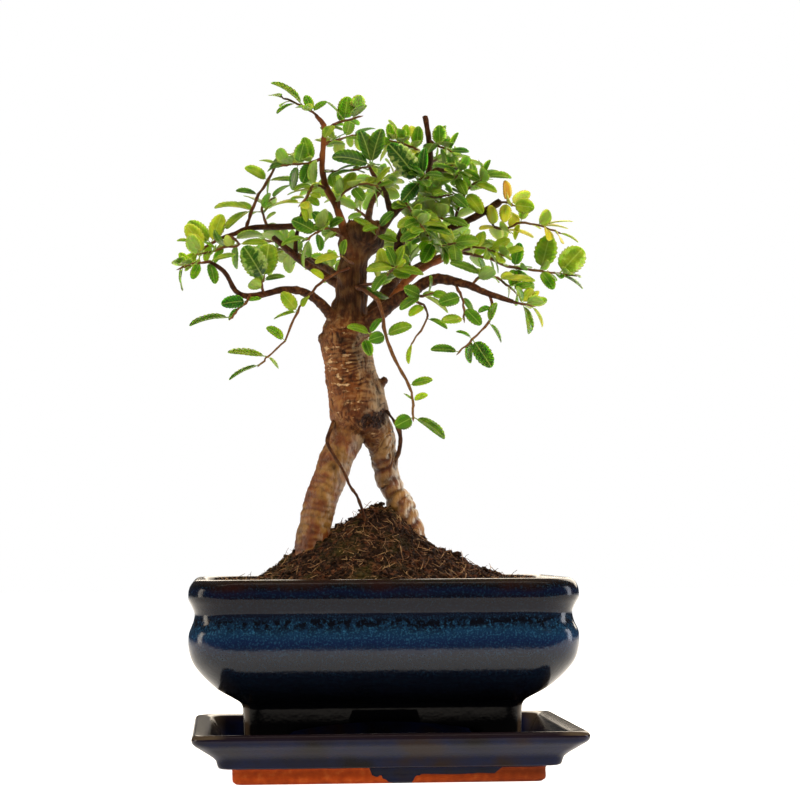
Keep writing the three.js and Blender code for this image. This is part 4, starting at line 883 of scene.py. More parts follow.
def alongLimb(points, route):  # how far each point is outside the limb, and its place along it
    best = np.full(len(points), 1e9)
    place = np.zeros(len(points))
    gone = 0.0
    for a, b in zip(route[:-1], route[1:]):
        a, b = np.array(a, float), np.array(b, float)
        span = b[:3] - a[:3]
        length = np.linalg.norm(span)
        t = np.clip((points - a[:3]) @ span / length ** 2, 0, 1)
        thick = a[3] + (b[3] - a[3]) * t
        off = np.linalg.norm(points - a[:3] - t[:, None] * span, axis=1) - thick
        nearer = off < best
        best = np.where(nearer, off, best)
        place = np.where(nearer, gone + t * length, place)
        gone += length
    return best, place


def barkRelief(points, normals):
    # rings on the legs, wrinkles and cracks on the trunk, fibres above them, knuckles on the branches
    offs, places = zip(*(alongLimb(points, limb["route"]) for limb in limbs))
    offs = np.array(offs)
    weights = np.exp(-(offs - offs.min(axis=0)) / wood["blend"])
    weights /= weights.sum(axis=0)
    kinds = [limb.get("bark", "branch") for limb in limbs]
    leg = sum(w for w, kind in zip(weights, kinds) if kind == "leg")
    trunk = sum(w for w, kind in zip(weights, kinds) if kind == "trunk")
    branch = 1 - leg - trunk
    upper = trunk * ease(points[:, 2] + 3 * field(points, 8, 3.1), *wood["barkChange"])
    coarse, middling, fine = field(points, 11), field(points, 4.5, 1.7), field(points, 1.9, 4.4)
    place = sum(w * p for w, p in zip(weights, places))
    turns = sum(w * p / limb.get("every", wood["ringEvery"]) for w, p, limb in zip(weights, places, limbs))
    swell = np.abs(np.sin(math.pi * (turns + 0.4 * coarse + 0.1 * middling))) ** 0.6
    strength = sum(w * limb.get("rings", 0) for w, limb in zip(weights, limbs))
    ring = (swell - 0.72) * wood["ringDepth"] * strength * (0.85 + 0.5 * field(points, 7, 8.2))
    wrinkle = np.abs(np.sin(math.pi * (place / wood["wrinkleEvery"] + 0.6 * coarse + 0.35 * middling))) ** 0.5
    wrinkles = (wrinkle - 0.7) * wood["wrinkleDepth"] * (1 + field(points, 6, 5.5))
    ridge = 1 - np.abs(field(points, (2.4, 2.4, 9), 2.2))
    crack = -wood["crackDepth"] * ease(ridge, 0.86, 1.0)
    fibre = wood["fibreDepth"] * (0.5 - np.abs(field(points, (1.7, 1.7, 15), 6.3)))
    lengthwise = -0.28 * ease(1 - np.abs(field(points, (3, 3, 14), 9.1)), 0.88, 1.0)
    knuckle = 0.2 * np.maximum(0, np.cos(math.tau * place / 7.5 + 2 * coarse)) ** 4 + 0.2 * fine
    top = ease(points[:, 2], wood["topFrom"], wood["topFrom"] + 6) * (normals[:, 2] > 0.3)
    torn = top * trunk * (2.2 * field(points, 2.6, 7.7) + 1.3 * field(points, 1.3, 1.1))
    relief = (ring + leg * (lengthwise * 0.6 + 0.1 * fine)
              + (trunk - upper) * (wrinkles + crack * 0.8 + 0.12 * fine)
              + upper * (fibre + crack * 0.6 + 0.35 * middling) + branch * knuckle)
    torn += 1.6 * trunk * ease(points[:, 2], 279, 287) * (1 + 0.5 * coarse)  # the cut top has swollen
    lumps = (leg + trunk) * wood["lumps"] * (0.6 * coarse + 0.4 * middling) + branch * 0.15 * middling
    scarred = np.zeros(len(points))
    for x, y, z, reach, depth in wood["scars"]:
        scarred += depth * np.exp(-((points - (x, y, z)) ** 2).sum(axis=1) / reach ** 2)
    # the deep scars: crumbled wound bark, coloured dark as painted shade in the hollows
    wound = ease(scarred * (1 + 0.6 * fine + 0.5 * middling), 0.75, 1.0)
    groove = np.clip(0.5 - relief / 0.6, 0, 1)
    warm = sum(w * limb.get("warm", 0) for w, limb in zip(weights, limbs))
    masks = {"groove": groove, "leg": leg, "upper": upper, "branch": branch, "wound": wound, "warm": warm}
    return relief + lumps + torn - scarred * (1 + 0.4 * middling) + 0.7 * wound * fine, masks


bark = {
    "clouds": {  # across in mm, detail, stretch
        "patches": (9, 3, (1, 1, 1)), "streaks": (2.2, 4, (1, 1, 0.3)), "bands": (2.6, 4, (0.4, 0.4, 1)),
        "flakes": (2.6, 5, (0.5, 0.5, 1.3)), "knots": (1.3, 4, (1, 1, 1)), "crumbs": (0.9, 4, (1, 1, 1)),
        "grain": (0.7, 4, (1, 1, 0.6))},
    "masks": ("groove", "leg", "upper", "branch", "wound", "warm"),
    "ramps": {  # what each goes by, and its stops
        # the trunk, by noise and the way each face turns: orange where it flaked on the left, dark red-brown
        # in front, and grey-beige on faces turned right, partly painted light
        "trunk": ("side", [(0.1, "#764520"), (0.3, "#633616"), (0.5, "#48230e"), (0.68, "#56351e"),
                           (0.9, "#837058")]),
        "legs": ("patches", [(0.25, "#65431c"), (0.42, "#7c5828"), (0.56, "#673617"), (0.72, "#4a230e")]),
        "above": ("streaks", [(0.3, "#28130a"), (0.5, "#3e220f"), (0.66, "#54341a"), (0.82, "#80603c")]),
        "limbs": ("knots", [(0.3, "#26120a"), (0.5, "#3b1f10"), (0.68, "#523019"), (0.85, "#7a5431")]),
        # the bark in the scars, mostly near-black as painted shade in the hollows
        "crumbledAndShaded": ("crumbs", [(0.42, "#140905"), (0.58, "#2c170d"), (0.72, "#6a4529")]),
        "bands": ("bands", [(0.5, 0.0), (0.68, 0.55)]), "flakes": ("flakes", [(0.6, 0.0), (0.66, 0.7)]),
        "leftOnly": ("rightward", [(0.0, 1.0), (0.12, 0.0)]),
        # silver streaks, stronger on faces turned right: partly grey bark, partly a painted highlight
        "silverAndHighlight": ("rightward", [(0.1, 0.1), (0.5, 0.9)]),
        "streaks": ("streaks", [(0.46, 0.0), (0.56, 0.95)]),
        # dark is a painted shade in the grooves, high a painted highlight on the ridges
        "dark": ("groove", [(0.45, 0.0), (0.9, 0.92)]), "high": ("groove", [(0.0, 0.5), (0.42, 0.0)])},
    "coats": [  # what is painted, over which ramp, with [amount, colour or an earlier coat]
        ("trunk", [("bands", "#8f6c47"), ("flakes", "#d2b183")]),
        ("legs", [("silverAndHighlight", "#b3aa9a")]),
        ("limbs", [("warm", "#7d4420")]),
        # over the whole: the legs, the bark above and the branches, then painted shade in the grooves,
        # painted highlights on the ridges, and the scars with their painted shade
        ("trunk", [("leg", "legs"), ("upper", "above"), ("branch", "limbs"), ("dark", "#1c0e07"),
                   ("high", "#a07a45"), ("wound", "crumbledAndShaded")])],
    "silverAndHighlightFrom": (-12, -4),  # the silver streaks, partly a painted highlight, are mainly on the right leg
}


def barkMaterial():
    # Elm bark: thin, smooth and ringed on the raised roots, flaking to orange on the trunk,
    # dark and fibrous above. Dry and matt, with a slight polish on the legs, painted highlights on the ring
    # tops and ridges, and painted shade in the grooves and hollows.
    material, tree, shader, coords = startMaterial("elmBark")
    rightward = addNode(tree, "ShaderNodeSeparateXYZ", [coords["Normal"]]).outputs["X"]
    where = addNode(tree, "ShaderNodeSeparateXYZ", [coords["Object"]]).outputs["X"]
    given = {"rightward": rightward}
    for name, (across, detail, stretch) in bark["clouds"].items():
        place = addNode(tree, "ShaderNodeMapping", {"Vector": coords["Object"], "Scale": stretch})
        given[name] = addNode(tree, "ShaderNodeTexNoise", {
            "Vector": place, "Scale": 1 / (across * mm), "Detail": detail})
    for name in bark["masks"]:
        given[name] = addNode(tree, "ShaderNodeAttribute", attribute_name=name).outputs["Fac"]
    # faces turned right are painted lighter and greyer on the trunk, as painted light
    paintedLightRight = addNode(tree, "ShaderNodeMath", [rightward, 0.5], operation="MULTIPLY")
    given["side"] = addNode(tree, "ShaderNodeMath", [given["patches"], 0.95, paintedLightRight],
                            operation="MULTIPLY_ADD")
    made = {name: addNode(tree, "ShaderNodeValToRGB", [given[source]], stops=stops)
            for name, (source, stops) in bark["ramps"].items()}
    start, end = bark["silverAndHighlightFrom"]
    onRight = addNode(tree, "ShaderNodeMapRange", {
        "Value": where, "From Min": start * mm, "From Max": end * mm, "To Min": 0.3})
    # how much of the painted groove shade and the painted ridge highlight each kind of bark gets
    plain = addNode(tree, "ShaderNodeMath", [given["upper"], 0.7, given["leg"]], operation="MULTIPLY_ADD")
    fibrous = addNode(tree, "ShaderNodeMath", [given["upper"], given["branch"]], operation="ADD")
    softer, duller = (addNode(tree, "ShaderNodeMapRange", {"Value": value, "To Min": 1.0, "To Max": least})
                      for value, least in ((plain, 0.5), (fibrous, 0.25)))
    amounts = {**given, "bands": made["bands"]}
    for name, *factors in (("flakes", made["leftOnly"]), ("silverAndHighlight", onRight, made["streaks"]),
                           ("dark", softer), ("high", duller)):
        amounts[name] = made[name]
        for factor in factors:
            amounts[name] = addNode(tree, "ShaderNodeMath", [amounts[name], factor], operation="MULTIPLY")
    for name, layers in bark["coats"]:
        for amount, over in layers:
            above = hexColour(over) if over.startswith("#") else made[over]
            made[name] = addNode(tree, "ShaderNodeMix", {0: amounts[amount], 6: made[name], 7: above},
                                 data_type="RGBA")
    bump = addNode(tree, "ShaderNodeBump", {
        "Height": given["grain"], "Strength": 0.9, "Distance": 0.6 * mm})
    roughness, sheen = (addNode(tree, "ShaderNodeMapRange", {
        "Value": given["leg"], "To Min": elsewhere, "To Max": onLegs})
        for elsewhere, onLegs in ((0.62, 0.36), (0.2, 0.5)))
    feed(tree, shader, {"Base Color": made["trunk"], "Normal": bump, "Roughness": roughness,
                        "Specular IOR Level": sheen})
    return material


def makeWood(material):
    points, faces, thin = [], [], []
    for limb in limbs:
        route = [list(p) for p in smoothProfile(limb["route"], wood["finer"])]
        split = next((i for i, p in enumerate(route) if p[3] < wood["thickFrom"]), len(route))
        if limb.get("bark"):
            split = len(route)
        if split > 3:
            more, made = sweptTube(route[:split], wood["thickSides"])
            faces += [tuple(v + len(points) for v in f) for f in made]
            points += more
        if split < len(route):
            start = max(0, split - 3)
            thin.append([[*p[:3], p[3] * (0.9 if i < 3 and start else 1)]
                         for i, p in enumerate(route[start:])])
    piece = meshObject("trunkWood", [times(p, mm) for p in points], faces, [material])
    remesh = piece.modifiers.new("melt", "REMESH")
    remesh.mode = "VOXEL"
    remesh.voxel_size = wood["voxel"] * mm
    remesh.use_smooth_shade = True
    soften = piece.modifiers.new("soften", "SMOOTH")
    soften.factor = 0.5
    soften.iterations = wood["melt"]
    baked(piece)
    faces = [tuple(p.vertices) for p in piece.data.polygons]
    melted = np.empty(len(piece.data.vertices) * 3, dtype=np.float32)
    piece.data.vertices.foreach_get("co", melted)
    points = [tuple(p) for p in melted.reshape(-1, 3) / mm]
    for route in thin:
        more, made = sweptTube(route, wood["thinSides"])
        faces += [tuple(v + len(points) for v in f) for f in made]
        points += [tuple(p) for p in more]
    bpy.data.objects.remove(piece)
    piece = meshObject("trunkWood", [times(p, mm) for p in points], faces, [material])
    mesh = piece.data
    normals = np.empty(len(points) * 3, dtype=np.float32)
    mesh.vertices.foreach_get("normal", normals)
    normals = normals.reshape(-1, 3)
    places = np.array(points)
    relief, masks = barkRelief(places, normals)
    moved = (places + normals * relief[:, None]) * mm
    mesh.vertices.foreach_set("co", moved.astype(np.float32).ravel())
    for name, values in masks.items():
        giveAttribute(mesh, name, values)
    mesh.update()
    finishPiece(piece, "bark", "trunk")
    print(f"wood ready, {len(mesh.polygons)} faces")


makeWood(barkMaterial())


# leaves: small toothed elm blades on short stalks, one side of each shoot and then the other

foliage = {
    "ratio": 0.5, "arch": 0.06, "fold": 0.16, "stalkEnd": 0.12, "thick": 0.014, "stalk": 0.021,
    "shrink": 0.97, "younger": 0.06, "toothDepth": 0.1, "veinLean": 0.15, "quilt": 0.007, "variants": 10,
    "grownLength": (12, 18.5), "crownCentre": (-4, 0, 300), "clearance": 0.9,
    "extraEvery": 4.2, "extraLength": (8.5, 17), "heart": ((-8, 276), (56, 352)), "heartMore": 3.2,
    "kink": 0.7, "twigPast": 2.4, "twigSides": 7, "twig": (0.85, 0.42),
    "stouter": {"fall_front": (1.25, 0.55), "light_end": (1.1, 0.5), "arch_left": (1, 0.45)},
    "reach": ((-109.5, -74, 150), (109.5, 74, 369.5)),
}


def makeBlade(variant):  # one unit long: stalk from 0, tip at 1, teeth along both edges
    draw = draws(300 + variant)
    teeth = 7 + variant % 3
    a0, lean = foliage["stalkEnd"], foliage["veinLean"]
    fullest, blunt = 0.86 + 0.2 * draw(), 1.9 + 0.6 * draw()
    arch, fold = foliage["arch"] * (0.5 + draw()), foliage["fold"] * (0.6 + 0.8 * draw())
    curl, wave, twist = 0.05 * (draw() - 0.4), 0.018 * (draw() - 0.3), 0.1 * (draw() - 0.5)
    points, faces, uvs = [], [], []

    def edge(t):  # half width, 0 to 1, at the share t of the blade
        return max(0.0, 1 - abs(2 * t ** fullest - 1) ** blunt) ** 0.56

    def put(a, across, side, lift):
        y = across * side * foliage["ratio"] / 2
        z = (arch * 4 * a * (1 - a) + fold * abs(y) + lift - curl * a ** 3
             + wave * math.sin(9 * a + side) * across ** 2 + twist * y * a)
        points.append((a, y, z))
        uvs.append((a, 0.5 + 0.5 * across * side))
        return len(points) - 1

    steps = teeth * 3
    rows = []
    for r in range(steps + 1):
        tooth, part = divmod(r, 3)
        t = (tooth + (0, 0.45, 0.82)[part]) / teeth
        wide = edge(t) * (1 - foliage["toothDepth"] * (1, 0.25, -0.1)[part] * (0.8 + 0.4 * draw()))
        rows.append((a0 + (1 - a0) * t, max(0.0, wide), part))
    top, low = {}, {}
    for r, (a, wide, part) in enumerate(rows):
        rib = max(a0, a - lean * wide)
        quilt = foliage["quilt"] * (1, 1, -1)[part] if 0 < r < steps else 0
        top[r, 0, 0] = put(rib, 0, 1, foliage["thick"] * 0.35)
        low[r, 0, 0] = put(rib, 0, 1, -foliage["thick"] * 1.25)
        for side in (1, -1):
            middle = (a + rib) / 2
            if 0 < r < steps:
                top[r, side, 1] = put(middle, wide * 0.52, side, foliage["thick"] * 0.6 + quilt)
                low[r, side, 1] = put(middle, wide * 0.52, side, -foliage["thick"] * 0.6 + quilt)
                top[r, side, 2] = low[r, side, 2] = put(a, wide, side, 0)
            else:
                for column in (1, 2):
                    top[r, side, column], low[r, side, column] = top[r, 0, 0], low[r, 0, 0]
        if r in (0, steps):
            low[r, 0, 0] = top[r, 0, 0]
            for side in (1, -1):
                for column in (1, 2):
                    low[r, side, column] = top[r, side, column] = top[r, 0, 0]
    for r in range(steps):
        for side in (1, -1):
            for layer, up in ((top, 1), (low, -1)):
                columns = [(0, 0), (side, 1), (side, 2)]
                for c in (0, 1):
                    loop = [layer[(r, *columns[c])], layer[(r + 1, *columns[c])],
                            layer[(r + 1, *columns[c + 1])], layer[(r, *columns[c + 1])]]
                    loop = [v for i, v in enumerate(loop) if v not in loop[:i]]
                    if len(loop) > 2:
                        faces.append(loop if side * up < 0 else loop[::-1])
    stalkStart = len(points)
    around = 5
    for a, thin in ((-0.03, 1.0), (0.06, 0.8), (a0 + 0.05, 0.7), (0.45, 0.35)):
        for i in range(around):
            turn = math.tau * i / around
            lift = arch * 4 * a * (1 - a) - foliage["thick"] * (0.9 if a > 0.1 else 0)
            points.append((a, foliage["stalk"] * thin * math.cos(turn),
                           lift + foliage["stalk"] * thin * math.sin(turn)))
            uvs.append((0.0 if a < 0.1 else a, 0.5))
    stalk = ringFaces(4, around, stalkStart)
    faces += stalk + [tuple(stalkStart + i for i in range(around))[::-1],
                      tuple(stalkStart + 3 * around + i for i in range(around))]
    used = sorted({v for face in faces for v in face})
    renamed = {v: i for i, v in enumerate(used)}
    below = set(low.values()) - set(top.values())
    piece = meshObject(f"elmBlade{variant}", [points[v] for v in used],
                       [[renamed[v] for v in face] for face in faces], [])
    giveAttribute(piece.data, "under", [float(v in below) for v in used])
    layer = piece.data.uv_layers.new(name="UVMap")
    for loop in piece.data.loops:
        layer.data[loop.index].uv = uvs[used[loop.vertex_index]]
    return piece


def newLeaf(root, reach, face, ratio, spray):
    way = unit(reach)
    length = size(reach)
    up = square(face, way)
    return {"root": root, "way": way, "face": up, "aside": cross(up, way), "length": length,
            "width": length * ratio, "spray": spray}


def measuredLeaf(shoot, row):  # looks the given share as wide as it is long, seen from the front
    point, x, y, z, look = row
    reach = [x, y, z]
    way = unit(reach)
    ratio = max(foliage["ratio"], look)
    front = square([0, -1, 0.15], way)
    aside = cross(front, way)
    if aside[2] < 0:
        aside = times(aside, -1)
    lean = math.acos(min(1, look / ratio))
    face = add(times(front, math.cos(lean)), aside, math.sin(lean))
    return newLeaf(shoot["route"][point], reach, face, ratio, shoot["spray"])


def grownLeaf(shoot, share, flip, turn, draw, lengths):  # by the rule, its face to the light
    along = share * (len(shoot["route"]) - 1)
    i = min(math.floor(along), len(shoot["route"]) - 2)
    root = mix(shoot["route"][i], shoot["route"][i + 1], min(1, along - i))
    stem = unit(add(shoot["route"][i + 1], shoot["route"][i], -1))
    level = square(cross(stem, [0, 0, 1]), stem)
    upright = cross(level, stem)
    angle = (math.pi if flip else 0) + turn + (draw() - 0.5) * 0.9
    side = add(times(level, math.cos(angle)), upright, math.sin(angle))
    way = add(times(stem, 0.35 + 0.4 * draw()), side)
    reach = times(unit(way), lengths[0] + (lengths[1] - lengths[0]) * draw())
    outward = unit(add(root, foliage["crownCentre"], -1))
    stray = [draw() - 0.5, draw() - 0.5, draw() - 0.5]
    face = add(add([0, 0, 0.8], outward, 0.7), stray, 1.1)
    return newLeaf(root, reach, face, 0.46 + 0.12 * draw(), shoot["spray"])


def nearBlade(leaf, start, end, room):
    def local(p):
        d = add(p, leaf["root"], -1)
        return [dot(d, leaf["way"]), dot(d, leaf["aside"]), dot(d, leaf["face"])]
    a, b = local(start), local(end)
    rise = b[2] - a[2]
    low, high = 0, 1
    if abs(rise) > 1e-6:
        t = sorted([(-room - a[2]) / rise, (room - a[2]) / rise])
        low, high = max(low, t[0]), min(high, t[1])
    elif abs(a[2]) > room:
        return False
    if low > high:
        return False
    for k in (0, 0.25, 0.5, 0.75, 1):
        p = mix(a, b, low + (high - low) * k)
        u = 2 * p[0] / leaf["length"] - 1.08
        wide = leaf["width"] / 2 * math.sqrt(max(0, 1 - u * u)) + room
        if -room < p[0] < leaf["length"] + room and abs(p[1]) < wide:
            return True
    return False


def bladeEdges(leaf):
    ring = [add(add(leaf["root"], leaf["way"], along * leaf["length"]),
                leaf["aside"], across * leaf["width"] / 2)
            for along, across in ((0.1, 0), (0.37, 0.95), (0.7, 0.85), (1, 0), (0.7, -0.85), (0.37, -0.95))]
    return [(p, ring[(i + 1) % 6]) for i, p in enumerate(ring)] + [(ring[0], ring[3])]


def blocked(leaf, leaves, sticks, clearance):
    middle = add(leaf["root"], leaf["way"], leaf["length"] / 2)
    own = bladeEdges(leaf)
    for other in leaves:
        centre = add(other["root"], other["way"], other["length"] / 2)
        if size(add(centre, middle, -1)) > (leaf["length"] + other["length"]) / 2 + 2:
            continue
        if any(nearBlade(other, a, b, clearance) for a, b in own) or any(
                nearBlade(leaf, a, b, clearance) for a, b in bladeEdges(other)):
            return True
    for start, end, radius, spray in sticks:
        if spray == leaf["spray"]:
            continue
        span = size(add(end, start, -1))
        if size(add(mix(start, end, 0.5), middle, -1)) > (leaf["length"] + span) / 2 + radius + 2:
            continue
        if nearBlade(leaf, start, end, radius + clearance * 0.7):
            return True
    return False


def placeLeaves():
    sticks = [(limb["route"][i][:3], p[:3], (p[3] + limb["route"][i][3]) / 2, "")
              for limb in limbs for i, p in enumerate(limb["route"][1:])]
    sticks += [(shoot["route"][i], p, 1, shoot["spray"])
               for shoot in shoots for i, p in enumerate(shoot["route"][1:])]
    leaves = [measuredLeaf(shoot, row) for shoot in shoots for row in shoot["leaves"]]
    for s, shoot in enumerate(shoots):
        for k in range(shoot["grown"]):
            draw = draws(1000 + 50 * s + k)
            for trial in range(14):
                share = (k + 0.85) / shoot["grown"]
                leaf = grownLeaf(shoot, share, k % 2, trial * 0.75, draw, foliage["grownLength"])
                tip = add(leaf["root"], leaf["way"], leaf["length"])
                inPlan = abs(tip[1]) < 75 and -112 < tip[0] < 112
                if inPlan and not blocked(leaf, leaves, sticks, foliage["clearance"]):
                    leaves.append(leaf)
                    break
    # small young leaves between the others, more of them in the heart of the crown
    (x0, z0), (x1, z1) = foliage["heart"]
    low, high = foliage["reach"]
    for s, shoot in enumerate(shoots):
        draw = draws(7000 + s)
        middle = shoot["route"][len(shoot["route"]) // 2]
        inHeart = x0 < middle[0] < x1 and z0 < middle[2] < z1
        length = sum(size(add(p, shoot["route"][i], -1)) for i, p in enumerate(shoot["route"][1:]))
        wanted = round(length / foliage["extraEvery"] * (foliage["heartMore"] if inHeart else 1))
        if shoot.get("bare"):
            wanted = 0
        for k in range(wanted):
            for trial in range(5):
                share = (k + 0.3 + 0.7 * draw()) / wanted
                leaf = grownLeaf(shoot, share, k % 2, trial * 1.1, draw, foliage["extraLength"])
                tip = add(leaf["root"], leaf["way"], leaf["length"])
                inside = all(low[i] < tip[i] < high[i] for i in (0, 1, 2))
                if inside and not blocked(leaf, leaves, sticks, 0.3):
                    leaf["young"] = True
                    leaves.append(leaf)
                    break
    return leaves


leafLooks = {
    "flesh": [(0.0, "#b3a62e"), (0.2, "#989826"), (0.42, "#71801a"), (0.66, "#466112"), (1.0, "#1e3d10")],
    "cloud": 5.263, "uneven": 0.75, "rib": (0.012, 0.04, 0.42), "sideRib": (0.03, 0.1, 0.15),
    "ribsPerBlade": 9.1, "ribsLean": -0.3, "ribColour": "#a3b557",
    "blotch": 2.381, "blotched": [(0.72, 0.0), (0.88, 0.38)],
    "coats": (("mottle", "#b4c06a"), ("autumn", "#a8702c"), ("under", "#a3b46a")), "paleUnder": 0.45,
}


def leafMaterial():
    # Chinese elm leaf: waxy above, matt and paler below, thin enough to let light through.
    # Young leaves are yellow-green and old ones dark; pale ribs run to the teeth.
    material, tree, shader, coords = startMaterial("elmLeaf")
    uv = addNode(tree, "ShaderNodeUVMap", uv_map="UVMap")
    parts = addNode(tree, "ShaderNodeSeparateXYZ", [uv]).outputs
    given = {name: addNode(tree, "ShaderNodeAttribute", attribute_name=name).outputs["Fac"]
             for name in ("tint", "mottle", "autumn", "under")}
    cloud, blotch = (addNode(tree, "ShaderNodeTexNoise", {
        "Vector": coords["Object"], "Scale": 1 / (wide * mm), "Detail": detail})
        for wide, detail in ((leafLooks["cloud"], 3), (leafLooks["blotch"], 2)))
    shift = addNode(tree, "ShaderNodeMath", [cloud, 0.5], operation="SUBTRACT")
    age = addNode(tree, "ShaderNodeMath", [shift, leafLooks["uneven"], given["tint"]],
                  operation="MULTIPLY_ADD")
    flesh = addNode(tree, "ShaderNodeValToRGB", [age], stops=leafLooks["flesh"])
    # ribs: the middle one, and a side rib for each tooth
    across = addNode(tree, "ShaderNodeMath", [parts["Y"], 0.5], operation="SUBTRACT")
    out = addNode(tree, "ShaderNodeMath", [across], operation="ABSOLUTE")
    back = addNode(tree, "ShaderNodeMath", [out, leafLooks["ribsLean"], parts["X"]],
                   operation="MULTIPLY_ADD")
    count = addNode(tree, "ShaderNodeMath", [back, leafLooks["ribsPerBlade"]], operation="MULTIPLY")
    saw = addNode(tree, "ShaderNodeMath", [count, 0.5], operation="PINGPONG")
    lines = [addNode(tree, "ShaderNodeMapRange", {
        "Value": off, "From Min": start, "From Max": end, "To Min": strength, "To Max": 0.0})
        for off, (start, end, strength) in ((out, leafLooks["rib"]), (saw, leafLooks["sideRib"]))]
    ribs = addNode(tree, "ShaderNodeMath", lines, operation="MAXIMUM")
    shade = addNode(tree, "ShaderNodeMix", {0: ribs, 6: flesh, 7: hexColour(leafLooks["ribColour"])},
                    data_type="RGBA")
    # pale edges on a few variegated leaves, orange on a turning one, and a paler underside
    outer = addNode(tree, "ShaderNodeMath", [blotch, out], operation="ADD")
    blotched = addNode(tree, "ShaderNodeValToRGB", [outer], stops=leafLooks["blotched"])
    amounts = dict(given)
    for name, factor in (("mottle", blotched), ("under", leafLooks["paleUnder"])):
        amounts[name] = addNode(tree, "ShaderNodeMath", [given[name], factor], operation="MULTIPLY")
    for name, colour in leafLooks["coats"]:
        shade = addNode(tree, "ShaderNodeMix", {0: amounts[name], 6: shade, 7: hexColour(colour)},
                        data_type="RGBA")
    gloss = addNode(tree, "ShaderNodeMapRange", {"Value": given["under"], "To Min": 0.3, "To Max": 0.6})
    feed(tree, shader, {
        "Base Color": shade, "Roughness": gloss, "IOR": 1.42, "Subsurface Weight": 0.55,
        "Subsurface Radius": (0.5, 1.0, 0.15), "Subsurface Scale": 1.2 * mm})
    return material


def twigMaterial():
    # Young elm wood: reddish-brown rind with fine pale pores, greener towards the tip.
    material, tree, shader, coords = startMaterial("elmTwigRind")
    tip = addNode(tree, "ShaderNodeAttribute", attribute_name="tip").outputs["Fac"]
    grain = addNode(tree, "ShaderNodeTexNoise", {
        "Vector": coords["Object"], "Scale": 1 / (1.4286 * mm), "Detail": 3})
    rind = addNode(tree, "ShaderNodeValToRGB", [grain], stops=[
        (0.35, "#301509"), (0.6, "#572b13"), (0.72, "#86603a")])
    young = addNode(tree, "ShaderNodeMix", {0: tip, 6: rind, 7: hexColour("#6a4a20")}, data_type="RGBA")
    bump = addNode(tree, "ShaderNodeBump", {"Height": grain, "Strength": 0.5, "Distance": 0.2 * mm})
    feed(tree, shader, {"Base Color": young, "Normal": bump, "Roughness": 0.6})
    return material


def shootTree(twig, leafy):
    tree, given = startNodes("leafyShoot", {"Blades": "Collection", "Twig Sides": "Int"})
    named = {name: addNode(tree, "GeometryNodeInputNamedAttribute", {"Name": name}, data_type=kind)
             for name, kind in (("isLeaf", "BOOLEAN"), ("thick", "FLOAT"), ("variant", "INT"),
                                ("turn", "FLOAT_VECTOR"), ("span", "FLOAT_VECTOR"))}
    split = addNode(tree, "GeometryNodeSeparateGeometry", {
        "Geometry": given["Geometry"], "Selection": named["isLeaf"]}, domain="POINT").outputs
    line = addNode(tree, "GeometryNodeMeshToCurve", {"Mesh": split["Inverted"]})
    ring = addNode(tree, "GeometryNodeCurvePrimitiveCircle", {
        "Resolution": given["Twig Sides"], "Radius": mm})
    tube = addNode(tree, "GeometryNodeCurveToMesh", {
        "Curve": line, "Profile Curve": ring, "Scale": named["thick"], "Fill Caps": True})
    kinds = addNode(tree, "GeometryNodeCollectionInfo", {
        "Collection": given["Blades"], "Separate Children": True, "Reset Children": True})
    turn = addNode(tree, "FunctionNodeEulerToRotation", {"Euler": named["turn"]})
    placed = addNode(tree, "GeometryNodeInstanceOnPoints", {
        "Points": split["Selection"], "Instance": kinds, "Pick Instance": True,
        "Instance Index": named["variant"], "Rotation": turn, "Scale": named["span"]})
    real = addNode(tree, "GeometryNodeRealizeInstances", {"Geometry": placed})
    both = addNode(tree, "GeometryNodeJoinGeometry")
    for part, material in ((tube, twig), (real, leafy)):
        dressed = addNode(tree, "GeometryNodeSetMaterial", {"Geometry": part, "Material": material})
        feed(tree, both, {"Geometry": dressed})
    addNode(tree, "NodeGroupOutput", {"Geometry": both})
    return tree


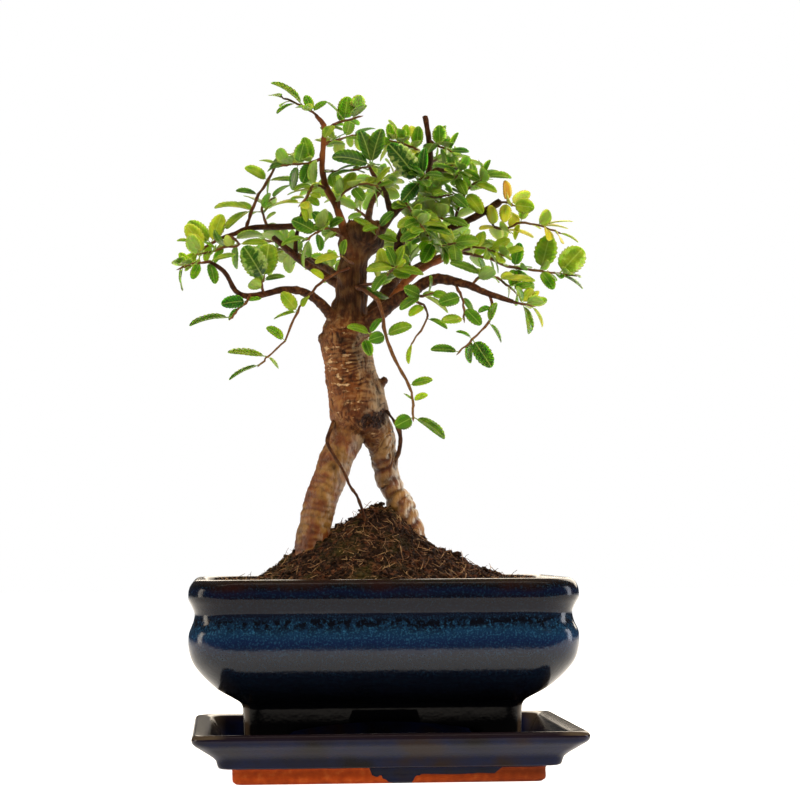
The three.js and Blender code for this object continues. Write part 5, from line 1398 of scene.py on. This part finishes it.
def makeSprays():
    leaves = placeLeaves()
    blades = shelve("elmBlades", [makeBlade(variant) for variant in range(foliage["variants"])])
    tree = shootTree(twigMaterial(), leafMaterial())
    total = 0
    for s, shoot in enumerate(shoots):
        draw = draws(500 + s)
        last = shoot["route"][-1]
        way = unit(add(last, shoot["route"][-2], -1))
        line = smoothProfile([*shoot["route"], add(last, way, foliage["twigPast"])], 4)
        wander = draws(900 + s)  # kinks and knuckles
        n = len(line)
        inner = range(2, n - 4)
        line = [add(list(p), [foliage["kink"] * (wander() - 0.5) * (i in inner) for _ in p])
                for i, p in enumerate(line)]
        points = [times(p, mm) for p in line]
        start, end = foliage["stouter"].get(shoot["spray"], foliage["twig"])
        thick = [(start + (end - start) * i / (n - 1)) * (0.82 + 0.4 * wander()) for i in range(n)]
        thick[-3:] = [end * 0.9, end * 0.6, end * 0.25]
        own = [leaf for leaf in leaves if leaf["spray"] == shoot["spray"]]
        m = len(own)
        turns, spans, variants, tints = [], [], [], []
        for leaf in own:
            points.append(times(leaf["root"], mm))
            axes = Matrix((leaf["way"], leaf["aside"], leaf["face"])).transposed()
            turns.append(tuple(axes.to_euler()))
            long = leaf["length"] * foliage["shrink"] * mm
            spans.append((long, leaf["width"] / foliage["ratio"] * mm, long))
            variants.append(int(draw() * foliage["variants"]))
            younger = foliage["younger"] if leaf.get("young") else 0
            tints.append(shoot["tone"] * 0.85 + 0.14 + 0.5 * (draw() - 0.5) - younger)
        mesh = bpy.data.meshes.new("spray_" + shoot["spray"])
        mesh.from_pydata(points, [(i, i + 1) for i in range(n - 1)], [])
        mottled, turning = ([float(i in shoot.get(kind, [])) for i in range(m)]
                            for kind in ("mottled", "turning"))
        for name, onTwig, onLeaves, kind in (
                ("thick", thick, [0] * m, "FLOAT"),
                ("tip", [i / (n - 1) for i in range(n)], [0] * m, "FLOAT"),
                ("tint", [0] * n, tints, "FLOAT"), ("mottle", [0] * n, mottled, "FLOAT"),
                ("autumn", [0] * n, turning, "FLOAT"),
                ("turn", [(0, 0, 0)] * n, turns, "FLOAT_VECTOR"),
                ("span", [(1, 1, 1)] * n, spans, "FLOAT_VECTOR"),
                ("variant", [0] * n, variants, "INT"), ("isLeaf", [False] * n, [True] * m, "BOOLEAN")):
            giveAttribute(mesh, name, onTwig + onLeaves, kind)
        piece = bpy.data.objects.new("leafyShoot_" + shoot["spray"], mesh)
        bpy.context.scene.collection.objects.link(piece)
        runNodes(piece, tree, {"Blades": blades, "Twig Sides": foliage["twigSides"]})
        total += len(piece.data.polygons)
        node = "spray_" + shoot["spray"]
        slot = next(p["material_slot"] for p in frame["record"]["subparts"] if p["node"] == node)
        finishPiece(piece, slot, node)
    clearShelf(blades)
    print(f"{len(leaves)} leaves on {len(shoots)} shoots, {total} faces")


makeSprays()


# soil: bark compost heaped round the legs, with crumbs, root fibres and a little moss on it

soil = {
    "edgeHeight": 102.6, "peak": (-3, 1, 146), "reachLeft": 68, "reachRight": 84, "reachDeep": 62,
    "hollowRight": 0.68, "hollowFrom": 25,  # the right slope sinks in below the leg
    "steepness": 1.12, "roundTop": 0.004, "rough": [(1.9, 7, 3), (1.1, 3, 9), (0.9, 1.5, 5)],
    "heaps": [(-46, -6, 4, 15), (38, -5, 1.5, 9), (8, -2, 2, 8), (20, -30, 3, 16), (-22, -32, 3, 16),
              (-20, 30, 4, 16), (26, 28, 3, 16), (62, 6, 2, 12)],
    "levels": [(60, 44.3), (79, 50.5), (91.2, 72), (91.8, 102.6)], "gap": 0.3, "rings": 84,
    "sharpest": 6, "cornerSteps": 12, "sideSteps": 96, "rimRings": 4,
    "scattered": {  # how many on each square mm, smallest, largest, seed
        "soilCrumbs": (0.3, 0.35, 1.25, 3), "soilClods": (0.014, 1.3, 2.9, 5),
        "rootFibres": (0.085, 0.5, 1.1, 8)},
    "lumps": [  # [x, y, radius] of the clods that stand out on the crest and the right slope
        (-2.6, 0, 1.7), (-0.2, 1, 1.9), (-11, 0, 1.8), (-8.6, -1, 1.5), (-22.5, -2, 1.6),
        (32.5, -4, 2.4), (36, -6, 2.0), (40.5, -5, 3.1)],
}


def heapHeight(x, y):
    px, py, pz = soil["peak"]
    side = soil["reachLeft"] if x < px else soil["reachRight"]
    out = math.hypot((x - px) / side, (y - py) / soil["reachDeep"])
    hollow = min(1, max(0, (x - px) / soil["hollowFrom"]))
    power = soil["steepness"] + soil["hollowRight"] * hollow * hollow * (3 - 2 * hollow)
    slope = max(0, 1 - math.sqrt(out * out + soil["roundTop"])) ** power
    heaps = sum(h * math.exp(-((x - hx) ** 2 + (y - hy) ** 2) / r ** 2) for hx, hy, h, r in soil["heaps"])
    height = soil["edgeHeight"] + (pz - soil["edgeHeight"]) * slope + heaps * min(1, 3 * max(0, 1 - out))
    inner = min(1, 4 * max(0.1, 1.12 - out))  # the heap is rougher than the soil along the rim
    rough = sum(high * noise.noise(Vector((x / across, y / across, seed)))
                for high, across, seed in soil["rough"])
    return height + rough * (0.5 + 0.6 * inner)


def soilMaterial():
    # Bark compost: dark, damp and crumbly, with red-brown bits and a breath of moss left of the middle.
    material, tree, shader, coords = startMaterial("barkCompost")
    place = coords["Object"]
    across = addNode(tree, "ShaderNodeSeparateXYZ", [place]).outputs["X"]
    grain, patch = (addNode(tree, "ShaderNodeTexNoise", {
        "Vector": place, "Scale": 1 / (wide * mm), "Detail": detail})
        for wide, detail in ((1.5625, 5), (16.13, 3)))
    earth = addNode(tree, "ShaderNodeValToRGB", [grain], stops=[
        (0.3, "#080403"), (0.48, "#180c07"), (0.6, "#302016"), (0.74, "#5c3c28")])
    island = addNode(tree, "ShaderNodeTexVoronoi", {"Vector": place, "Scale": 1 / (2.381 * mm)})
    bits = addNode(tree, "ShaderNodeSeparateColor", [island.outputs["Color"]])
    bitOn = addNode(tree, "ShaderNodeValToRGB", [bits], stops=[(0.8, 0.0), (0.88, 0.5)])
    mossOn = addNode(tree, "ShaderNodeValToRGB", [patch], stops=[(0.5, 0.0), (0.66, 0.5)])
    leftward = addNode(tree, "ShaderNodeMapRange", {
        "Value": across, "From Min": 20 * mm, "From Max": -10 * mm})
    moss = addNode(tree, "ShaderNodeMath", [mossOn, leftward], operation="MULTIPLY")
    shade = earth
    for amount, colour in ((bitOn, "#54301c"), (moss, "#3f3a16")):
        shade = addNode(tree, "ShaderNodeMix", {0: amount, 6: shade, 7: hexColour(colour)},
                        data_type="RGBA")
    bump = addNode(tree, "ShaderNodeBump", {"Height": grain, "Strength": 0.9, "Distance": 0.8 * mm})
    feed(tree, shader, {"Base Color": shade, "Normal": bump, "Roughness": 0.8, "Specular IOR Level": 0.25})
    return material


def fibreMaterial():
    # Dried root hairs and bark shreds, straw-coloured to red-brown.
    material, tree, shader, coords = startMaterial("dryRootFibre")
    vary = addNode(tree, "ShaderNodeTexNoise", {
        "Vector": coords["Object"], "Scale": 1 / (6.667 * mm), "Detail": 3})
    straw = addNode(tree, "ShaderNodeValToRGB", [vary], stops=[
        (0.3, "#3e2416"), (0.48, "#6f4c30"), (0.64, "#a5845c")])
    feed(tree, shader, {"Base Color": straw, "Roughness": 0.7})
    return material


def crumbShapes(seedFrom, count):  # rough lumps of 20 faces
    golden = (1 + math.sqrt(5)) / 2
    corners = [(0, a, b * golden) for a in (-1, 1) for b in (-1, 1)]
    corners += [(a, b * golden, 0) for a in (-1, 1) for b in (-1, 1)]
    corners += [(b * golden, 0, a) for a in (-1, 1) for b in (-1, 1)]
    corners = [Vector(c).normalized() for c in corners]
    faces = []
    for i in range(12):
        for j in range(i + 1, 12):
            for k in range(j + 1, 12):
                a, b, c = corners[i], corners[j], corners[k]
                if max((a - b).length, (b - c).length, (a - c).length) < 1.1:
                    faces.append((i, j, k) if (b - a).cross(c - a).dot(a + b + c) > 0 else (i, k, j))
    for n in range(count):
        draw = draws(seedFrom + n)
        squash = (0.7 + 0.6 * draw(), 0.6 + 0.5 * draw(), 0.45 + 0.35 * draw())
        yield [[c[i] * squash[i] * (0.75 + 0.5 * draw()) * mm for i in range(3)] for c in corners], faces


def fibreShapes(seedFrom, count):  # thin curled threads lying on the soil
    for n in range(count):
        draw = draws(seedFrom + n)
        heading, bend, rise = 0.0, 0.9 * (draw() - 0.5), 0.3
        length = 4 + 7 * draw()
        route = [[0, 0, -0.3, 0.2]]
        for k in range(6):
            heading += bend + 0.5 * (draw() - 0.5)
            rise += 0.4 * (draw() - 0.35)
            x, y = route[-1][:2]
            route.append([x + math.cos(heading) * length / 6, y + math.sin(heading) * length / 6,
                          max(0.0, rise), 0.2 - 0.015 * k])
        points, faces = sweptTube(route, 4)
        yield [times(p, mm) for p in points], faces


def scatterTree(material):
    tree, given = startNodes("scatterOnSoil", {
        "Shapes": "Collection", "Per Square Metre": "Float", "Smallest": "Float", "Largest": "Float",
        "Seed": "Int"})
    spots = addNode(tree, "GeometryNodeDistributePointsOnFaces", {
        "Mesh": given["Geometry"], "Density": given["Per Square Metre"], "Seed": given["Seed"]})
    spin = addNode(tree, "FunctionNodeRandomValue", {
        "Min": (0, 0, 0), "Max": (0.5, 0.5, math.tau), "Seed": given["Seed"]}, data_type="FLOAT_VECTOR")
    by = addNode(tree, "FunctionNodeEulerToRotation", {"Euler": spin})
    spun = addNode(tree, "FunctionNodeRotateRotation", {
        "Rotation": spots.outputs["Rotation"], "Rotate By": by}, rotation_space="LOCAL")
    large = addNode(tree, "FunctionNodeRandomValue", {
        2: given["Smallest"], 3: given["Largest"], "Seed": given["Seed"]}, data_type="FLOAT")
    kinds = addNode(tree, "GeometryNodeCollectionInfo", {
        "Collection": given["Shapes"], "Separate Children": True, "Reset Children": True})
    placed = addNode(tree, "GeometryNodeInstanceOnPoints", {
        "Points": spots, "Instance": kinds, "Pick Instance": True, "Rotation": spun, "Scale": large})
    real = addNode(tree, "GeometryNodeRealizeInstances", {"Geometry": placed})
    done = addNode(tree, "GeometryNodeSetMaterial", {"Geometry": real, "Material": material})
    addNode(tree, "NodeGroupOutput", {"Geometry": done})
    return tree


def scatter(name, top, shapes, material):
    perSquare, smallest, largest, seed = soil["scattered"][name]
    kinds = shelve(name + "Shapes", [meshObject(f"{name}Shape{i}", points, faces, [])
                                     for i, (points, faces) in enumerate(shapes)])
    piece = bpy.data.objects.new(name, top.copy())
    bpy.context.scene.collection.objects.link(piece)
    runNodes(piece, scatterTree(material), {
        "Shapes": kinds, "Per Square Metre": perSquare / mm ** 2, "Smallest": smallest,
        "Largest": largest, "Seed": seed})
    clearShelf(kinds)
    finishPiece(piece, "soil")
    print(f"{name} ready, {len(piece.data.polygons)} faces")


def makeLumps(material):
    points, faces = [], []
    for (x, y, radius), (shape, sides) in zip(soil["lumps"], crumbShapes(980, len(soil["lumps"]))):
        middle = times((x, y, heapHeight(x, y) + 0.55 * radius), mm)
        faces += [[len(points) + i for i in side] for side in sides]
        points += [add(middle, corner, radius) for corner in shape]
    finishPiece(meshObject("standingClods", points, faces, [material]), "soil")


def makeSoil():
    material = soilMaterial()
    px, py, _ = soil["peak"]
    rings = []
    for half, z in soil["levels"]:
        half -= soil["gap"]
        radius = max(soil["sharpest"], pot["cornerRadius"] - (pot["widest"] - half) * pot["cornerTaper"])
        rings.append([(x, y, z) for x, y in softRing(
            half, half - pot["widerThanDeep"], radius,
            soil["cornerSteps"], soil["sideSteps"], pot["centreX"])])
    rim = rings[-1]
    for r in range(1, soil["rings"]):
        t = 1 - r / soil["rings"]
        ring = [(px + (x - px) * t, py + (y - py) * t) for x, y, _ in rim]
        rings.append([(x, y, heapHeight(x, y)) for x, y in ring])
    points = [p for ring in rings for p in ring]
    count = len(rim)
    faces = ringFaces(len(rings), count)
    floor, crest = len(points), len(points) + 1
    points += [(pot["centreX"], 0, soil["levels"][0][1]), (px, py, heapHeight(px, py))]
    last = (len(rings) - 1) * count
    for i in range(count):
        j = (i + 1) % count
        faces += [(floor, j, i), (crest, last + i, last + j)]
    points = [times(p, mm) for p in points]
    finishPiece(meshObject("soilHeap", points, faces, [material]), "soil", "soil")
    top = bpy.data.meshes.new("soilTop")
    bare = (len(soil["levels"]) + soil["rimRings"]) * count  # nothing lies beyond this, at the rim
    top.from_pydata(points, [], [f for f in faces if min(f) >= bare])
    scatter("soilCrumbs", top, crumbShapes(900, 8), material)
    scatter("soilClods", top, crumbShapes(920, 8), material)
    scatter("rootFibres", top, fibreShapes(940, 12), fibreMaterial())
    bpy.data.meshes.remove(top)
    makeLumps(material)


makeSoil()
